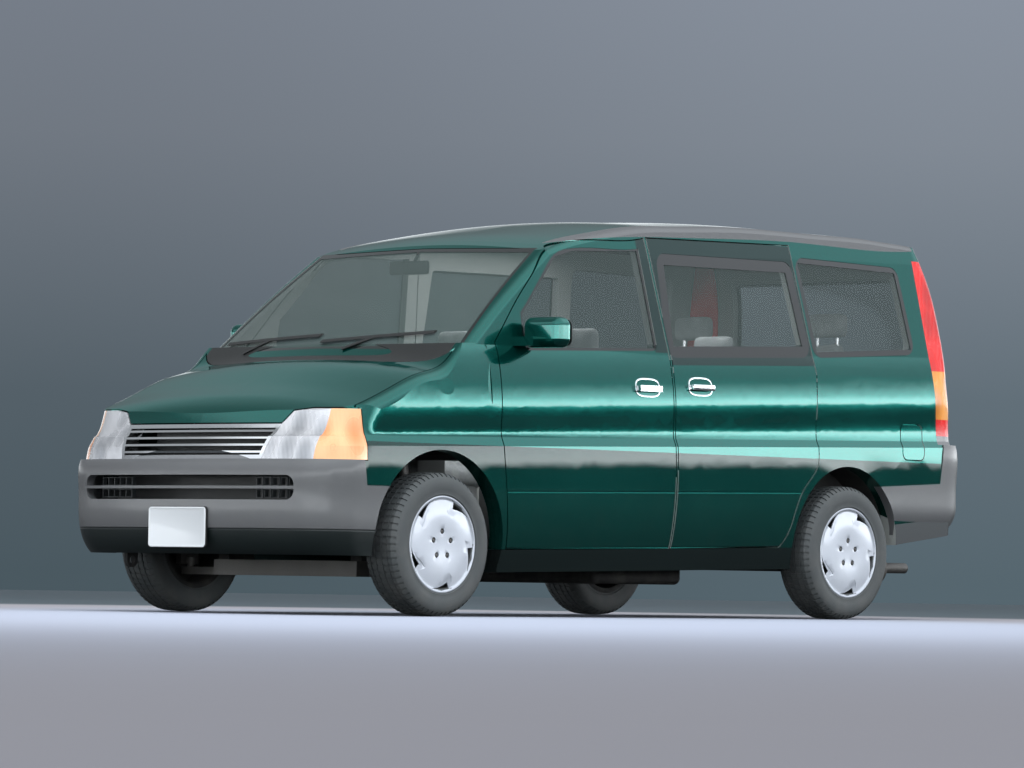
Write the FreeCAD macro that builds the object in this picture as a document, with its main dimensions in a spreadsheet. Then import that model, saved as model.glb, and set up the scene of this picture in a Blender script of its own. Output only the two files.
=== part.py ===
import FreeCAD, Part
import Sketcher
import math
import os

# Minivan, in millimetres. +X is the left side, -Y is forward, +Z is up.
# The origin lies on the ground, under the middle of the body.

V = FreeCAD.Vector
DOC = FreeCAD.newDocument("Minivan")

# Driving dimensions, each written once.
SIZES = {
    # body
    "body_length": 4605, "body_width": 1695, "body_height": 1830,
    "wheelbase": 2800, "front_overhang": 780, "track_width": 1482,
    "wall_lower": 78, "wall_upper": 44, "skin_depth": 18, "fender_depth": 26, "panel_depth": 26,
    "shut_gap": 6, "step_inset": 24, "glass_depth": 5, "glass_overlap": 22, "glass_sink": 3,
    "front_bow": 3370, "front_corner": 240, "rear_bow": 9000, "rear_corner": 120,
    "side_bow_front": 46000, "side_bow_rear": 90000, "screen_corner": 70, "roof_rear_bow": 9000,
    "hood_crown": 66, "hood_shoulder": 58, "roof_crown": 40, "roof_shoulder": 52, "shoulder_stand": 1.5,
    "roof_depth": 36, "seat_touch": 0.3, "overrun": 60,
    # wheels
    "tyre_radius": 310, "tyre_width": 194, "rim_radius": 190.5, "rim_flange": 208, "rim_lip": 7,
    "tyre_shoulder": 26, "rim_wall": 8, "hub_radius": 62, "hub_bore": 20.08, "spindle_radius": 20,
    "cover_depth": 10, "cover_sink": 6, "hub_length": 96, "lug_circle": 57, "lug_radius": 11,
    "lug_depth": 6, "cover_slot_depth": 8, "disc_plate": 9,
    "arch_radius_front": 400, "arch_radius_rear": 395, "arch_reach_front": 400, "arch_reach_rear": 250, "arch_lift": 6,
    "king_pin_inset": 52, "king_pin_radius": 14, "king_pin_length": 34, "arm_clearance": 12, "knuckle_plate": 34, "steer_limit": 33,
    "knuckle_width": 110, "running_play": 1, "tower_size": 190, "strut_radius": 22, "strut_play": 0.08, "spring_radius": 58, "arm_height": 34,
    "beam_radius": 34, "arm_spread": 480,
    # front end
    "bumper_depth": 44, "bumper_shelf": 22, "bumper_reach": 110, "plate_width": 342, "plate_height": 172, "plate_thickness": 13, "plate_z": 282,
    "plate_corner": 12, "slot_bar": 12, "grille_frame": 17, "grille_bar": 9, "grille_depth": 46,
    "lamp_depth": 60, "trim_gap": 4,
    # structure and cabin
    "front_eye_z": 225, "rear_eye_z": 345, "eye_width": 64, "eye_plate": 18, "eye_radius": 17,
    "floor_thickness": 34, "firewall_thickness": 40, "rail_width": 80, "rail_height": 90, "radiator_depth": 30,
    "engine_width": 620, "engine_length": 430, "engine_height": 520,
    "tank_width": 760, "tank_length": 620, "tank_height": 150, "tank_round": 30,
    "exhaust_radius": 25, "muffler_radius": 85, "muffler_length": 420,
    "seat_width": 500, "seat_cushion": 500, "seat_pad": 130, "seat_back": 560, "seat_round": 36,
    "bench_width": 1240, "seat_height": 360, "head_rest_width": 260, "head_rest_height": 150,
    "head_rest_depth": 90, "seat_leg": 40, "board_depth": 12,
    "dash_depth": 400, "dash_height": 330, "dash_width": 1420, "dash_round": 60,
    "wheel_rim_radius": 190, "wheel_rim_section": 14, "column_radius": 22, "column_length": 330,
    "wheel_hub_radius": 70, "wheel_hub_depth": 40, "spoke_width": 34, "column_rake": 35,
    # small outside pieces
    "handle_length": 150, "handle_height": 26, "handle_stand": 26, "handle_bar": 14,
    "mirror_width": 215, "mirror_height": 134, "mirror_depth": 104, "mirror_round": 38,
    "mirror_arm": 40, "mirror_stand": 157, "wiper_section": 14, "wiper_length": 560, "rail_groove": 18, "rail_depth": 14,
    "lid_depth": 12, "lid_corner": 34, "hinge_plate": 10, "hinge_width": 40, "hinge_reach": 22, "leaf_length": 60,
    "glass_round": 60, "door_round": 40,
}


class Size(float):
    """A number that remembers the sheet expression it was worked out by."""

    def __new__(cls, value, text):
        number = float.__new__(cls, value)
        number.text = text
        return number

    def __add__(self, other):
        return Size(float(self) + float(other), "(%s + %s)" % (text_of(self), text_of(other)))

    def __radd__(self, other):
        return Size(float(other) + float(self), "(%s + %s)" % (text_of(other), text_of(self)))

    def __sub__(self, other):
        return Size(float(self) - float(other), "(%s - %s)" % (text_of(self), text_of(other)))

    def __rsub__(self, other):
        return Size(float(other) - float(self), "(%s - %s)" % (text_of(other), text_of(self)))

    def __mul__(self, other):
        return Size(float(self) * float(other), "(%s * %s)" % (text_of(self), text_of(other)))

    __rmul__ = __mul__

    def __truediv__(self, other):
        return Size(float(self) / float(other), "(%s / %s)" % (text_of(self), text_of(other)))

    def __neg__(self):
        return Size(-float(self), "(0 - %s)" % text_of(self))


def text_of(number):
    return number.text if isinstance(number, Size) else "%.6f" % number


def write_sheet():
    sheet = DOC.addObject("Spreadsheet::Sheet", "Sizes")
    for row, (name, value) in enumerate(SIZES.items(), start=1):
        sheet.set("A%d" % row, name)
        sheet.set("B%d" % row, str(value))
        sheet.setAlias("B%d" % row, name)
    DOC.recompute()
    return {name: Size(sheet.get(name), "Sizes." + name) for name in SIZES}


S = write_sheet()
LENGTH = S["body_length"]
HALF = S["body_width"] / 2
HEIGHT = S["body_height"]
FRONT_AXLE = S["front_overhang"] - LENGTH / 2
REAR_AXLE = FRONT_AXLE + S["wheelbase"]
AXLE_Z = S["tyre_radius"]
FRONT_END, REAR_END = -LENGTH / 2, LENGTH / 2
GAP = S["shut_gap"]
OVER = S["overrun"]

# Half-width and ends of the lower body at each level, as shares: height and its rise along the
# car, half-width, front end and rear end. Levels rise towards the rear, as the car's wedge does.
LOWER_SHARES = (
    (0.0546, 0.0168, 0.920, -0.4669, 0.4712),
    (0.1120, 0.0168, 0.944, -0.4734, 0.4747),
    (0.1716, 0.0168, 0.970, -0.4810, 0.4747),
    (0.2459, 0.0176, 0.9864, -0.4853, 0.4747),
    (0.3098, 0.0186, 0.9935, -0.4886, 0.4747),
    (0.3770, 0.0210, 0.9947, -0.4890, 0.4747),
    (0.4202, 0.0244, 0.9923, -0.4853, 0.4747),
)
UPPER_SHARES = (
    (0.4399, 0.0213, 0.9758, -0.4810, 0.4745),
    (0.5170, 0.0364, 0.9788, -0.4669, 0.4717),
    (0.5574, 0.0360, 0.9746, -0.4625, 0.4699),
    (0.6011, 0.0360, 0.9617, -0.4582, 0.4695),
    (0.6372, 0.0340, 0.9463, -0.4538, 0.4697),
    (0.6720, 0.0340, 0.9200, -0.4490, 0.4650),
)
# Greenhouse levels: height, rise, half-width, front, rear, and the windshield's bow.
GREEN_SHARES = (
    (0.5902, 0.034, 0.9605, -0.3544, 0.4691, 0.4886),
    (0.6372, 0.034, 0.9445, -0.3276, 0.4693, 0.5121),
    (0.7650, 0.030, 0.8956, -0.2536, 0.4647, 0.7166),
    (0.8743, 0.020, 0.8543, -0.1844, 0.4543, 0.9989),
    (0.9235, 0.015, 0.8336, -0.1535, 0.4465, 1.1292),
    (1.0109, 0.010, 0.8000, -0.1042, 0.4311, 1.3029),
)
# Middle line of the hood and of the roof, as shares of the length and the height.
HOOD_SHARES = (
    (-0.5038, 0.339), (-0.4864, 0.399), (-0.4749, 0.4443), (-0.4690, 0.4645), (-0.4625, 0.4831),
    (-0.4538, 0.4984), (-0.4430, 0.5120), (-0.4278, 0.5257), (-0.3909, 0.5612), (-0.3474, 0.6022),
    (-0.3105, 0.6366), (-0.2606, 0.6776), (-0.1954, 0.7213),
)
ROOF_SHARES = (
    (-0.2172, 0.8560), (-0.1954, 0.8710), (-0.1653, 0.9010), (-0.1390, 0.9230), (-0.1086, 0.9410),
    (-0.0651, 0.9607), (-0.0265, 0.9760), (0.0347, 0.9869), (0.1086, 0.9967), (0.1954, 1.0000),
    (0.3040, 0.9995), (0.3909, 0.9934), (0.4343, 0.9847), (0.4473, 0.9781), (0.4777, 0.9508),
)
# Ahead of this place the windshield lies below the roof's own form.
SCREEN_SIDE_SHARE = -0.2060
TUB_MIDDLE_SHARE = -0.0651


def circles_meet(c1, r1, c2, r2, ahead):
    """The crossing of two circles that lies furthest forward, or furthest to the rear."""
    dx, dy = c2[0] - c1[0], c2[1] - c1[1]
    d = math.hypot(dx, dy)
    a = (r1 * r1 - r2 * r2 + d * d) / (2 * d)
    h = math.sqrt(r1 * r1 - a * a)
    meets = [(c1[0] + (a * dx - k * h * dy) / d, c1[1] + (a * dy + k * h * dx) / d) for k in (-1, 1)]
    meets = [m for m in meets if m[0] > 0]
    return min(meets, key=lambda m: m[1]) if ahead else max(meets, key=lambda m: m[1])


def toward(centre, point, radius):
    d = math.hypot(point[0] - centre[0], point[1] - centre[1])
    return (centre[0] + (point[0] - centre[0]) * radius / d,
            centre[1] + (point[1] - centre[1]) * radius / d)


def bent(centre, start, end, lift, count):
    """Smooth edge along a circle seen from above, on a plane that rises along the car."""
    radius = math.hypot(start[0] - centre[0], start[1] - centre[1])
    first = math.atan2(start[1] - centre[1], start[0] - centre[0])
    last = math.atan2(end[1] - centre[1], end[0] - centre[0])
    turn = (last - first + math.pi) % (2 * math.pi) - math.pi
    points = []
    for i in range(count + 1):
        angle = first + turn * i / count
        x, y = centre[0] + radius * math.cos(angle), centre[1] + radius * math.sin(angle)
        points.append(V(x, y, lift(y)))

    def heading(angle):
        way = math.copysign(1, turn)
        x, y = -way * math.sin(angle), way * math.cos(angle)
        return V(x, y, lift(y) - lift(0))

    curve = Part.BSplineCurve()
    curve.interpolate(Points=points, InitialTangent=heading(first), FinalTangent=heading(last))
    return curve.toShape()


def plan_wire(level, bows, inset):
    """Left half of the outline seen from above: bowed front and rear, round corners, bowed side."""
    z0, rise, half, front, rear = level
    front_bow, front_corner, rear_bow, rear_corner, side_front, side_rear, middle = bows
    nose, tail = (0, front + front_bow), (0, rear - rear_bow)
    side_f, side_r = (half - side_front, middle), (half - side_rear, middle)
    corner_f = circles_meet(nose, front_bow - front_corner, side_f, side_front - front_corner, True)
    corner_r = circles_meet(tail, rear_bow - rear_corner, side_r, side_rear - rear_corner, False)
    p0, p6 = (0, front + inset), (0, rear - inset)
    p1 = toward(nose, corner_f, front_bow - inset)
    p2 = toward(side_f, corner_f, side_front - inset)
    p3 = (half - inset, middle)
    p4 = toward(side_r, corner_r, side_rear - inset)
    p5 = toward(tail, corner_r, rear_bow - inset)

    def lift(y):
        return z0 + rise * y

    stretches = ((nose, p0, p1, 2), (corner_f, p1, p2, 4), (side_f, p2, p3, 1), (side_r, p3, p4, 1),
                 (corner_r, p4, p5, 3), (tail, p5, p6, 1))
    edges = [bent(centre, a, b, lift, count) for centre, a, b, count in stretches]
    edges.append(Part.makeLine(V(0, p6[1], lift(p6[1])), V(0, p0[1], lift(p0[1]))))
    return Part.Wire(edges)


def tub(inset, bottom_drop=0):
    """The body below the windows, as a solid; the moulded ledge is the short straight stretch."""
    bows = (S["front_bow"], S["front_corner"], S["rear_bow"], S["rear_corner"],
            S["side_bow_front"], S["side_bow_rear"], TUB_MIDDLE_SHARE * LENGTH)

    def wires(rows):
        return [plan_wire((z * HEIGHT, k, w * HALF, f * LENGTH, r * LENGTH), bows, inset)
                for z, k, w, f, r in rows]

    low, high = wires(LOWER_SHARES), wires(UPPER_SHARES)
    parts = [Part.makeLoft(low, True, False), Part.makeLoft(high, True, False),
             Part.makeLoft([low[-1], high[0]], True, True)]
    if bottom_drop:
        foot = low[0].copy()
        foot.translate(V(0, 0, -bottom_drop))
        parts.append(Part.makeLoft([foot, low[0]], True, True))
    return parts[0].fuse(parts[1:])


def greenhouse(inset):
    wires = []
    for z, rise, half, front, rear, bow in GREEN_SHARES:
        bows = (bow * LENGTH, S["screen_corner"], S["roof_rear_bow"], S["rear_corner"],
                S["side_bow_front"], S["side_bow_rear"], 0)
        level = (z * HEIGHT, rise, half * HALF, front * LENGTH, rear * LENGTH)
        wires.append(plan_wire(level, bows, inset))
    return Part.makeLoft(wires, True, False)


def half_width(y, z, rows, middle):
    """Half-width of the body at a place along it and a height, from the level tables."""
    levels = sorted((r[0] * HEIGHT + r[1] * y, r[2] * HALF) for r in rows)
    half = levels[0][1]
    for (z0, w0), (z1, w1) in zip(levels, levels[1:]):
        if z0 <= z <= z1:
            half = w0 + (w1 - w0) * (z - z0) / (z1 - z0)
        elif z > z1:
            half = w1
    bow = S["side_bow_front"] if y < middle else S["side_bow_rear"]
    return half - (bow - math.sqrt(bow * bow - (y - middle) ** 2))


def side_x(y, z):
    """Half-width of the body below the windows."""
    return half_width(y, z, LOWER_SHARES + UPPER_SHARES, TUB_MIDDLE_SHARE * LENGTH)


def window_x(y, z):
    """Half-width of the body beside the windows."""
    return half_width(y, z, GREEN_SHARES, 0)


def lid_wire(y, top, crown, shoulder, width_at, lean, floor, down):
    """Section across the hood or the roof: crown, two shoulders and straight sides."""
    reach_z = top - crown - shoulder
    reach_x = width_at(y, reach_z) + S["shoulder_stand"] - down
    top = top - down
    bow = (reach_x * reach_x + crown * crown) / (2 * crown)
    radius = shoulder - down if shoulder > 2 * down else shoulder / 2
    centre_z = top - bow
    normal = (math.cos(lean), math.sin(lean))
    k = normal[0] * reach_x + normal[1] * (reach_z - centre_z)
    turn = math.asin((k - radius) / (bow - radius)) - lean
    cx = (bow - radius) * math.sin(turn)
    cz = centre_z + (bow - radius) * math.cos(turn)
    a = (bow * math.sin(turn), centre_z + bow * math.cos(turn))
    half_turn = (math.pi / 2 - lean + turn) / 2
    b = (cx + radius * math.sin(half_turn), cz + radius * math.cos(half_turn))
    c = (cx + radius * normal[0], cz + radius * normal[1])
    foot = (c[0] + (c[1] - floor) * math.tan(lean), floor)
    start, shoulder_top, shoulder_mid, shoulder_end, low = (
        V(p[0], y, p[1]) for p in ((0, top), a, b, c, foot))
    rise = V(bow * math.sin(turn / 2), y, centre_z + bow * math.cos(turn / 2))
    base = V(0, y, floor)
    edges = [spline_arc(start, rise, shoulder_top), spline_arc(shoulder_top, shoulder_mid, shoulder_end),
             Part.makeLine(shoulder_end, low), Part.makeLine(low, base), Part.makeLine(base, start)]
    return Part.Wire(edges)


def spline_arc(a, b, c):
    """A circular arc through three points, as a smooth cubic edge."""
    arc = Part.Arc(a, b, c)
    points = [arc.value(arc.FirstParameter + (arc.LastParameter - arc.FirstParameter) * k / 2)
              for k in range(3)]
    curve = Part.BSplineCurve()
    first, last = arc.tangent(arc.FirstParameter)[0], arc.tangent(arc.LastParameter)[0]
    curve.interpolate(Points=points, InitialTangent=first, FinalTangent=last)
    return curve.toShape()


def under_hood(down):
    lean = math.radians(7)
    wires = [lid_wire(y * LENGTH, z * HEIGHT, S["hood_crown"], S["hood_shoulder"], side_x, lean, 0, down)
             for y, z in HOOD_SHARES]
    lid = Part.makeLoft(wires, True, False)
    rear = slab(-HALF - OVER, HALF + OVER, HOOD_SHARES[-2][0] * LENGTH + down, REAR_END + OVER, -OVER, HEIGHT)
    return lid.fuse(rear)


def under_roof(down):
    lean = math.radians(10)
    floor = 0.6 * HEIGHT
    wires = [lid_wire(y * LENGTH, z * HEIGHT, S["roof_crown"], S["roof_shoulder"], window_x, lean, floor, down)
             for y, z in ROOF_SHARES]
    ahead = slab(-HALF - OVER, HALF + OVER, FRONT_END, SCREEN_SIDE_SHARE * LENGTH, floor, HEIGHT)
    return Part.makeLoft(wires, True, False).fuse(ahead)


def slab(x0, x1, y0, y1, z0, z1):
    return Part.makeBox(x1 - x0, y1 - y0, z1 - z0, V(x0, y0, z0))


def skin(low_inset, high_inset, roof_inset=None, drop=0):
    """The whole outer form, or one that lies inside it by the given insets."""
    roof_inset = high_inset if roof_inset is None else roof_inset
    low = tub(low_inset, drop).common(under_hood(min(low_inset, S["panel_depth"])))
    high = greenhouse(high_inset).common(under_roof(roof_inset))
    return low.fuse(high)


def offset_points(points, grow):
    """Move each corner of a closed outline outwards by a gap, keeping its edges parallel."""
    area = sum(p[0] * q[1] - q[0] * p[1] for p, q in zip(points, points[1:] + points[:1]))
    way = 1 if area > 0 else -1
    moved = []
    for i, here in enumerate(points):
        before, after = points[i - 1], points[(i + 1) % len(points)]
        a = (here[0] - before[0], here[1] - before[1])
        c = (after[0] - here[0], after[1] - here[1])
        a = (a[0] / math.hypot(*a), a[1] / math.hypot(*a))
        c = (c[0] / math.hypot(*c), c[1] / math.hypot(*c))
        normal = (way * (a[1] + c[1]), -way * (a[0] + c[0]))
        scale = grow / (1 + a[0] * c[0] + a[1] * c[1])
        moved.append((here[0] + normal[0] * scale, here[1] + normal[1] * scale))
    return moved


def outline_wire(runs, radius, grow, put):
    """Closed outline made of runs: two points are a straight run, more are one smooth run.
    Neighbouring runs share a corner, and a corner between straight runs is rounded."""
    flat = [p for run in runs for p in run[:-1]]
    if grow:
        flat = offset_points(flat, grow)
    corners = []
    start = 0
    for run in runs:
        corners.append(start)
        start += len(run) - 1
    count = len(runs)
    ends = []
    for i in range(count):
        here = corners[i]
        straight = len(runs[i]) == 2 and len(runs[i - 1]) == 2
        before, at, after = flat[here - 1], flat[here], flat[(here + 1) % len(flat)]
        if radius <= 0 or not straight:
            ends.append((at, None, at))
            continue
        u = (before[0] - at[0], before[1] - at[1])
        w = (after[0] - at[0], after[1] - at[1])
        lu, lw = math.hypot(*u), math.hypot(*w)
        u, w = (u[0] / lu, u[1] / lu), (w[0] / lw, w[1] / lw)
        angle = math.acos(max(-1, min(1, u[0] * w[0] + u[1] * w[1])))
        reach = min((radius + grow) / math.tan(angle / 2), lu * 2 / 5, lw * 2 / 5)
        if reach <= 0 or angle > math.pi * 0.98:
            ends.append((at, None, at))
            continue
        bend = reach * math.tan(angle / 2)
        m = (u[0] + w[0], u[1] + w[1])
        lm = math.hypot(*m)
        m = (m[0] / lm, m[1] / lm)
        centre = (at[0] + m[0] * bend / math.sin(angle / 2), at[1] + m[1] * bend / math.sin(angle / 2))
        ends.append(((at[0] + u[0] * reach, at[1] + u[1] * reach),
                     (centre[0] - m[0] * bend, centre[1] - m[1] * bend),
                     (at[0] + w[0] * reach, at[1] + w[1] * reach)))
    edges = []
    for i in range(count):
        first, bend, last = ends[i]
        if bend is not None:
            edges.append(Part.Arc(put(*first), put(*bend), put(*last)).toShape())
        stop = ends[(i + 1) % count][0]
        inside = [flat[(corners[i] + k) % len(flat)] for k in range(1, len(runs[i]) - 1)]
        if inside:
            curve = Part.BSplineCurve()
            curve.interpolate([put(*p) for p in [last] + inside + [stop]])
            edges.append(curve.toShape())
        else:
            edges.append(Part.makeLine(put(*last), put(*stop)))
    return Part.Wire(edges)


def runs_of(shares, across, up):
    """An outline's runs in millimetres. A plain list of corners is all straight runs."""
    if isinstance(shares[0][0], (int, float)):
        shares = [(p, q) for p, q in zip(shares, shares[1:] + shares[:1])]
    return [[(p[0] * across, p[1] * up) for p in run] for run in shares]


def side_prism(shares, radius=0, grow=0, inner=0, outer=None):
    """An outline seen from the side, run outwards from inner to beyond the body's side."""
    outer = HALF + OVER if outer is None else outer
    wire = outline_wire(runs_of(shares, LENGTH, HEIGHT), radius, grow, lambda y, z: V(inner, y, z))
    return Part.Face(wire).extrude(V(outer - inner, 0, 0))


def front_prism(shares, radius=0, grow=0, y0=None, y1=None):
    """An outline seen from the front, given as shares of the half-width and the height."""
    wire = outline_wire(runs_of(shares, HALF, HEIGHT), radius, grow, lambda x, z: V(x, y0, z))
    return Part.Face(wire).extrude(V(0, y1 - y0, 0))


def plan_prism(shares, radius=0, grow=0, z0=0, z1=None):
    wire = outline_wire(runs_of(shares, HALF, LENGTH), radius, grow, lambda x, y: V(x, y, z0))
    return Part.Face(wire).extrude(V(0, 0, z1 - z0))


def mirrored(shape):
    return shape.mirror(V(0, 0, 0), V(1, 0, 0))


def both(shape):
    return Part.makeCompound([shape, mirrored(shape)])


PIECES = {}


def keep(name, shape, refine=False):
    """Store a freely shaped piece as an object of the document."""
    if refine:
        shape = shape.removeSplitter()
    solids = shape.Solids
    largest = max(s.Volume for s in solids)
    solids = [s for s in solids if s.Volume > largest * 0.002]
    piece = DOC.addObject("Part::Feature", name)
    piece.Label = name
    piece.Shape = solids[0] if len(solids) == 1 else Part.makeCompound(solids)
    piece.Placement = FreeCAD.Placement()
    PIECES[name] = piece
    return piece


def bind(thing, name, value):
    """Set a property, by an expression where the value comes from the sheet."""
    if isinstance(value, Size):
        thing.setExpression(name, value.text)
    else:
        setattr(thing, name, value)


def place(thing, x=0, y=0, z=0, turn=None):
    thing.Placement = FreeCAD.Placement(V(x, y, z), turn or FreeCAD.Rotation())
    for axis, value in (("x", x), ("y", y), ("z", z)):
        if isinstance(value, Size):
            thing.setExpression("Placement.Base." + axis, value.text)


def block(name, x0, y0, z0, dx, dy, dz, round_by=None):
    """A box of the document with sheet-driven sides, its edges rounded if asked."""
    thing = DOC.addObject("Part::Box", name)
    for prop, value in (("Length", dx), ("Width", dy), ("Height", dz)):
        bind(thing, prop, value)
    place(thing, x0, y0, z0)
    if round_by is None:
        return thing
    DOC.recompute()
    soft = DOC.addObject("Part::Fillet", name + "_round")
    soft.Base = thing
    soft.Edges = [(i + 1, float(round_by), float(round_by)) for i in range(len(thing.Shape.Edges))]
    return soft


AXES = {
    "x": FreeCAD.Rotation(V(0, 1, 0), 90),
    "y": FreeCAD.Rotation(V(1, 0, 0), -90),
    "z": FreeCAD.Rotation(),
}


def rod(name, radius, length, x, y, z, axis="z"):
    thing = DOC.addObject("Part::Cylinder", name)
    bind(thing, "Radius", radius)
    bind(thing, "Height", length)
    place(thing, x, y, z, AXES[axis])
    return thing


def joined(name, things):
    """Fuse objects of the document into one named piece."""
    whole = DOC.addObject("Part::MultiFuse", name)
    whole.Shapes = things
    whole.Refine = True
    whole.Label = name
    PIECES[name] = whole
    return whole


def named(name, thing):
    thing.Label = name
    PIECES[name] = thing
    return thing


# Outlines of the side panels, seen from the side: shares of the length and of the height.
# Each outline is a list of runs that share their corners.
FRONT_DOOR_SHARES = (
    ((-0.2479, 0.6536), (-0.2472, 0.5900), (-0.2475, 0.4800), (-0.2462, 0.3900), (-0.2420, 0.2978),
     (-0.2381, 0.1620)),
    ((-0.2381, 0.1620), (-0.0015, 0.1700)),
    ((-0.0015, 0.1700), (0.0025, 0.2700), (0.0028, 0.4536), (0.0016, 0.6339)),
    ((0.0016, 0.6339), (-0.0160, 0.9325)),
    ((-0.0160, 0.9325), (-0.0817, 0.9190), (-0.1364, 0.9050), (-0.1560, 0.8880), (-0.1824, 0.8301),
     (-0.2069, 0.7694), (-0.2315, 0.7000), (-0.2479, 0.6536)),
)
SLIDE_DOOR_SHARES = (
    ((-0.0124, 0.9335), (0.0046, 0.6339)),
    ((0.0046, 0.6339), (0.0058, 0.4536), (0.0055, 0.2700), (0.0010, 0.1700)),
    ((0.0010, 0.1700), (0.1700, 0.1809)),
    ((0.1700, 0.1809), (0.1861, 0.2317), (0.2020, 0.3197), (0.2174, 0.3590), (0.2270, 0.3900),
     (0.2280, 0.4361), (0.2276, 0.5377), (0.2298, 0.6169)),
    ((0.2298, 0.6169), (0.2105, 0.9440)),
    ((0.2105, 0.9440), (-0.0124, 0.9335)),
)
DOOR_WINDOW_SHARES = (
    ((-0.2080, 0.7280), (-0.1880, 0.7790), (-0.1689, 0.8317), (-0.1500, 0.8760), (-0.1240, 0.8934),
     (-0.0830, 0.8990), (-0.0260, 0.9055)),
    ((-0.0260, 0.9055), (-0.0150, 0.6541)),
    ((-0.0150, 0.6541), (-0.2080, 0.6370)),
    ((-0.2080, 0.6370), (-0.2080, 0.7280)),
)
SLIDE_WINDOW_SHARES = ((-0.0008, 0.8978), (0.2097, 0.9022), (0.2255, 0.6607), (-0.0005, 0.6388))
QUARTER_WINDOW_SHARES = ((0.2155, 0.9158), (0.3867, 0.9093), (0.3997, 0.6847), (0.2305, 0.6607))
RAIL_SHARES = (
    ((-0.1680, 0.8930), (-0.1400, 0.9060), (-0.0810, 0.9241), (0.0714, 0.9437), (0.2295, 0.9536),
     (0.3935, 0.9519), (0.4180, 0.9560)),
    ((0.4180, 0.9560), (0.4280, 1.0100)),
    ((0.4280, 1.0100), (-0.1700, 1.0100)),
    ((-0.1700, 1.0100), (-0.1680, 0.8930)),
)
FUEL_LID_SHARES = ((0.3685, 0.5038), (0.4055, 0.5038), (0.4055, 0.4115), (0.3685, 0.4115))
SLIDE_RAIL_SHARES = ((0.2367, 0.6420), (0.3763, 0.6465), (0.3763, 0.6225), (0.2367, 0.6180))
SILL_SHARES = ((-0.2460, 0.1595), (0.1950, 0.1795), (0.1950, 0.1260), (-0.2460, 0.1060))
UNDER_SHARES = ((-0.52, -0.05), (0.52, -0.05), (0.52, 0.2400), (0.3700, 0.1950), (0.1900, 0.1250),
                (-0.2400, 0.1060), (-0.52, 0.1060))
HINGE_HEIGHT_SHARES = (0.2700, 0.5200)
TAIL_LAMP_SHARES = ((0.4145, 0.9300), (0.4700, 0.9300), (0.4900, 0.4546), (0.4310, 0.4546))

# Front view outlines: shares of the half-width and of the height.
GRILLE_SHARES = ((-0.5416, 0.4437), (0.5416, 0.4437), (0.4956, 0.3612), (-0.4956, 0.3612))
LAMP_SHARES = ((0.5416, 0.4437), (0.5960, 0.4738), (0.7000, 0.4800), (1.0500, 0.4800),
               (1.0500, 0.3612), (0.4956, 0.3612))
SCREEN_SHARES = ((-0.8802, 0.6300), (0.8802, 0.6300), (0.7658, 0.8902), (-0.7658, 0.8902))
TAILGATE_SHARES = ((-0.7900, 0.4620), (0.7900, 0.4620), (0.7900, 0.6400), (0.7080, 0.9560),
                   (-0.7080, 0.9560), (-0.7900, 0.6400))
REAR_GLASS_SHARES = ((-0.7000, 0.6400), (0.7000, 0.6400), (0.6400, 0.9000), (-0.6400, 0.9000))

# Plan outlines: shares of the half-width and of the length.
HOOD_PLAN_SHARES = (
    ((-0.8850, -0.2997), (-0.8900, -0.5200)),
    ((-0.8900, -0.5200), (0.8900, -0.5200)),
    ((0.8900, -0.5200), (0.8850, -0.2997)),
    ((0.8850, -0.2997), (0.7670, -0.3160), (0.5900, -0.3273), (0.3540, -0.3346), (0, -0.3388),
     (-0.3540, -0.3346), (-0.5900, -0.3273), (-0.7670, -0.3160), (-0.8850, -0.2997)),
)
RAIL_INNER_SHARE = 0.6950
ROOF_PLAN_SHARES = ((-0.7150, -0.1480), (0.7150, -0.1480), (0.7600, 0.4180), (-0.7600, 0.4180))

SCREEN_TOP_DIP = 0.0071
LAMP_REAR_SHARE = -0.4300
# Where the hood's hinge leaves stand: their side, the hood's rear end there, and their lower edge.
HOOD_HINGE_SHARES = (0.8000, -0.3130, 0.5450)
GATE_HINGE_SHARE = 0.5000
GATE_FRONT_SHARE = 0.4330
FIREWALL_SHARE = -0.2900
FIREWALL_TOP_SHARE = 0.6260
REAR_BODY_SHARE = 0.4570


def bow_line(shares, dip_top, dip_bottom):
    """Front outline whose bottom and top edges rise to the middle, as bowed glass does."""
    (x0, z0), (x1, z1), (x2, z2), (x3, z3) = shares
    return ((x0, z0), (0, z0 + dip_bottom), (x1, z1), (x2, z2), (0, z2 + dip_top), (x3, z3))


class Body:
    """The left half of the shell, and the forms that lie inside it, while panels are taken out."""

    def __init__(self):
        lower, upper = S["wall_lower"], S["wall_upper"]
        self.outer = skin(0, 0)
        for tool in wheel_space():
            self.outer = self.outer.cut(tool)
        self.inner = skin(lower, upper, S["roof_depth"], OVER)
        self.wall = self.outer.cut(self.inner)
        self.green = greenhouse(0)
        self.glass_out = greenhouse(S["glass_sink"])
        self.glass_in = greenhouse(S["glass_sink"] + S["glass_depth"])
        self.glass_seat = greenhouse(S["glass_sink"] + S["glass_depth"] + S["seat_touch"])
        self.shell = self.wall

    def take(self, tools):
        for tool in tools:
            self.shell = self.shell.cut(tool)


def wheel_space(grow=0):
    """What the left wheels need inside the arches."""
    spaces = []
    for y, radius, reach in ((FRONT_AXLE, S["arch_radius_front"], S["arch_reach_front"]),
                             (REAR_AXLE, S["arch_radius_rear"], S["arch_reach_rear"])):
        centre = V(HALF - reach - grow, y, AXLE_Z + S["arch_lift"])
        spaces.append(Part.makeCylinder(radius + grow, reach + grow + OVER, centre, V(1, 0, 0)))
    return spaces


def seat_pane(body, full, clear, host):
    """Glass seated in a host: returns the pane and the host with its opening and its rebate."""
    pane = full.common(body.glass_out).cut(body.glass_in)
    host = host.cut([clear, full.cut(body.glass_seat)])
    return pane, host


def swinging(body, prism_of):
    """A panel in its opening: the panel, and what the shell loses for it."""
    return body.wall.common(prism_of(-GAP / 2)), [prism_of(GAP / 2)]


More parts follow.
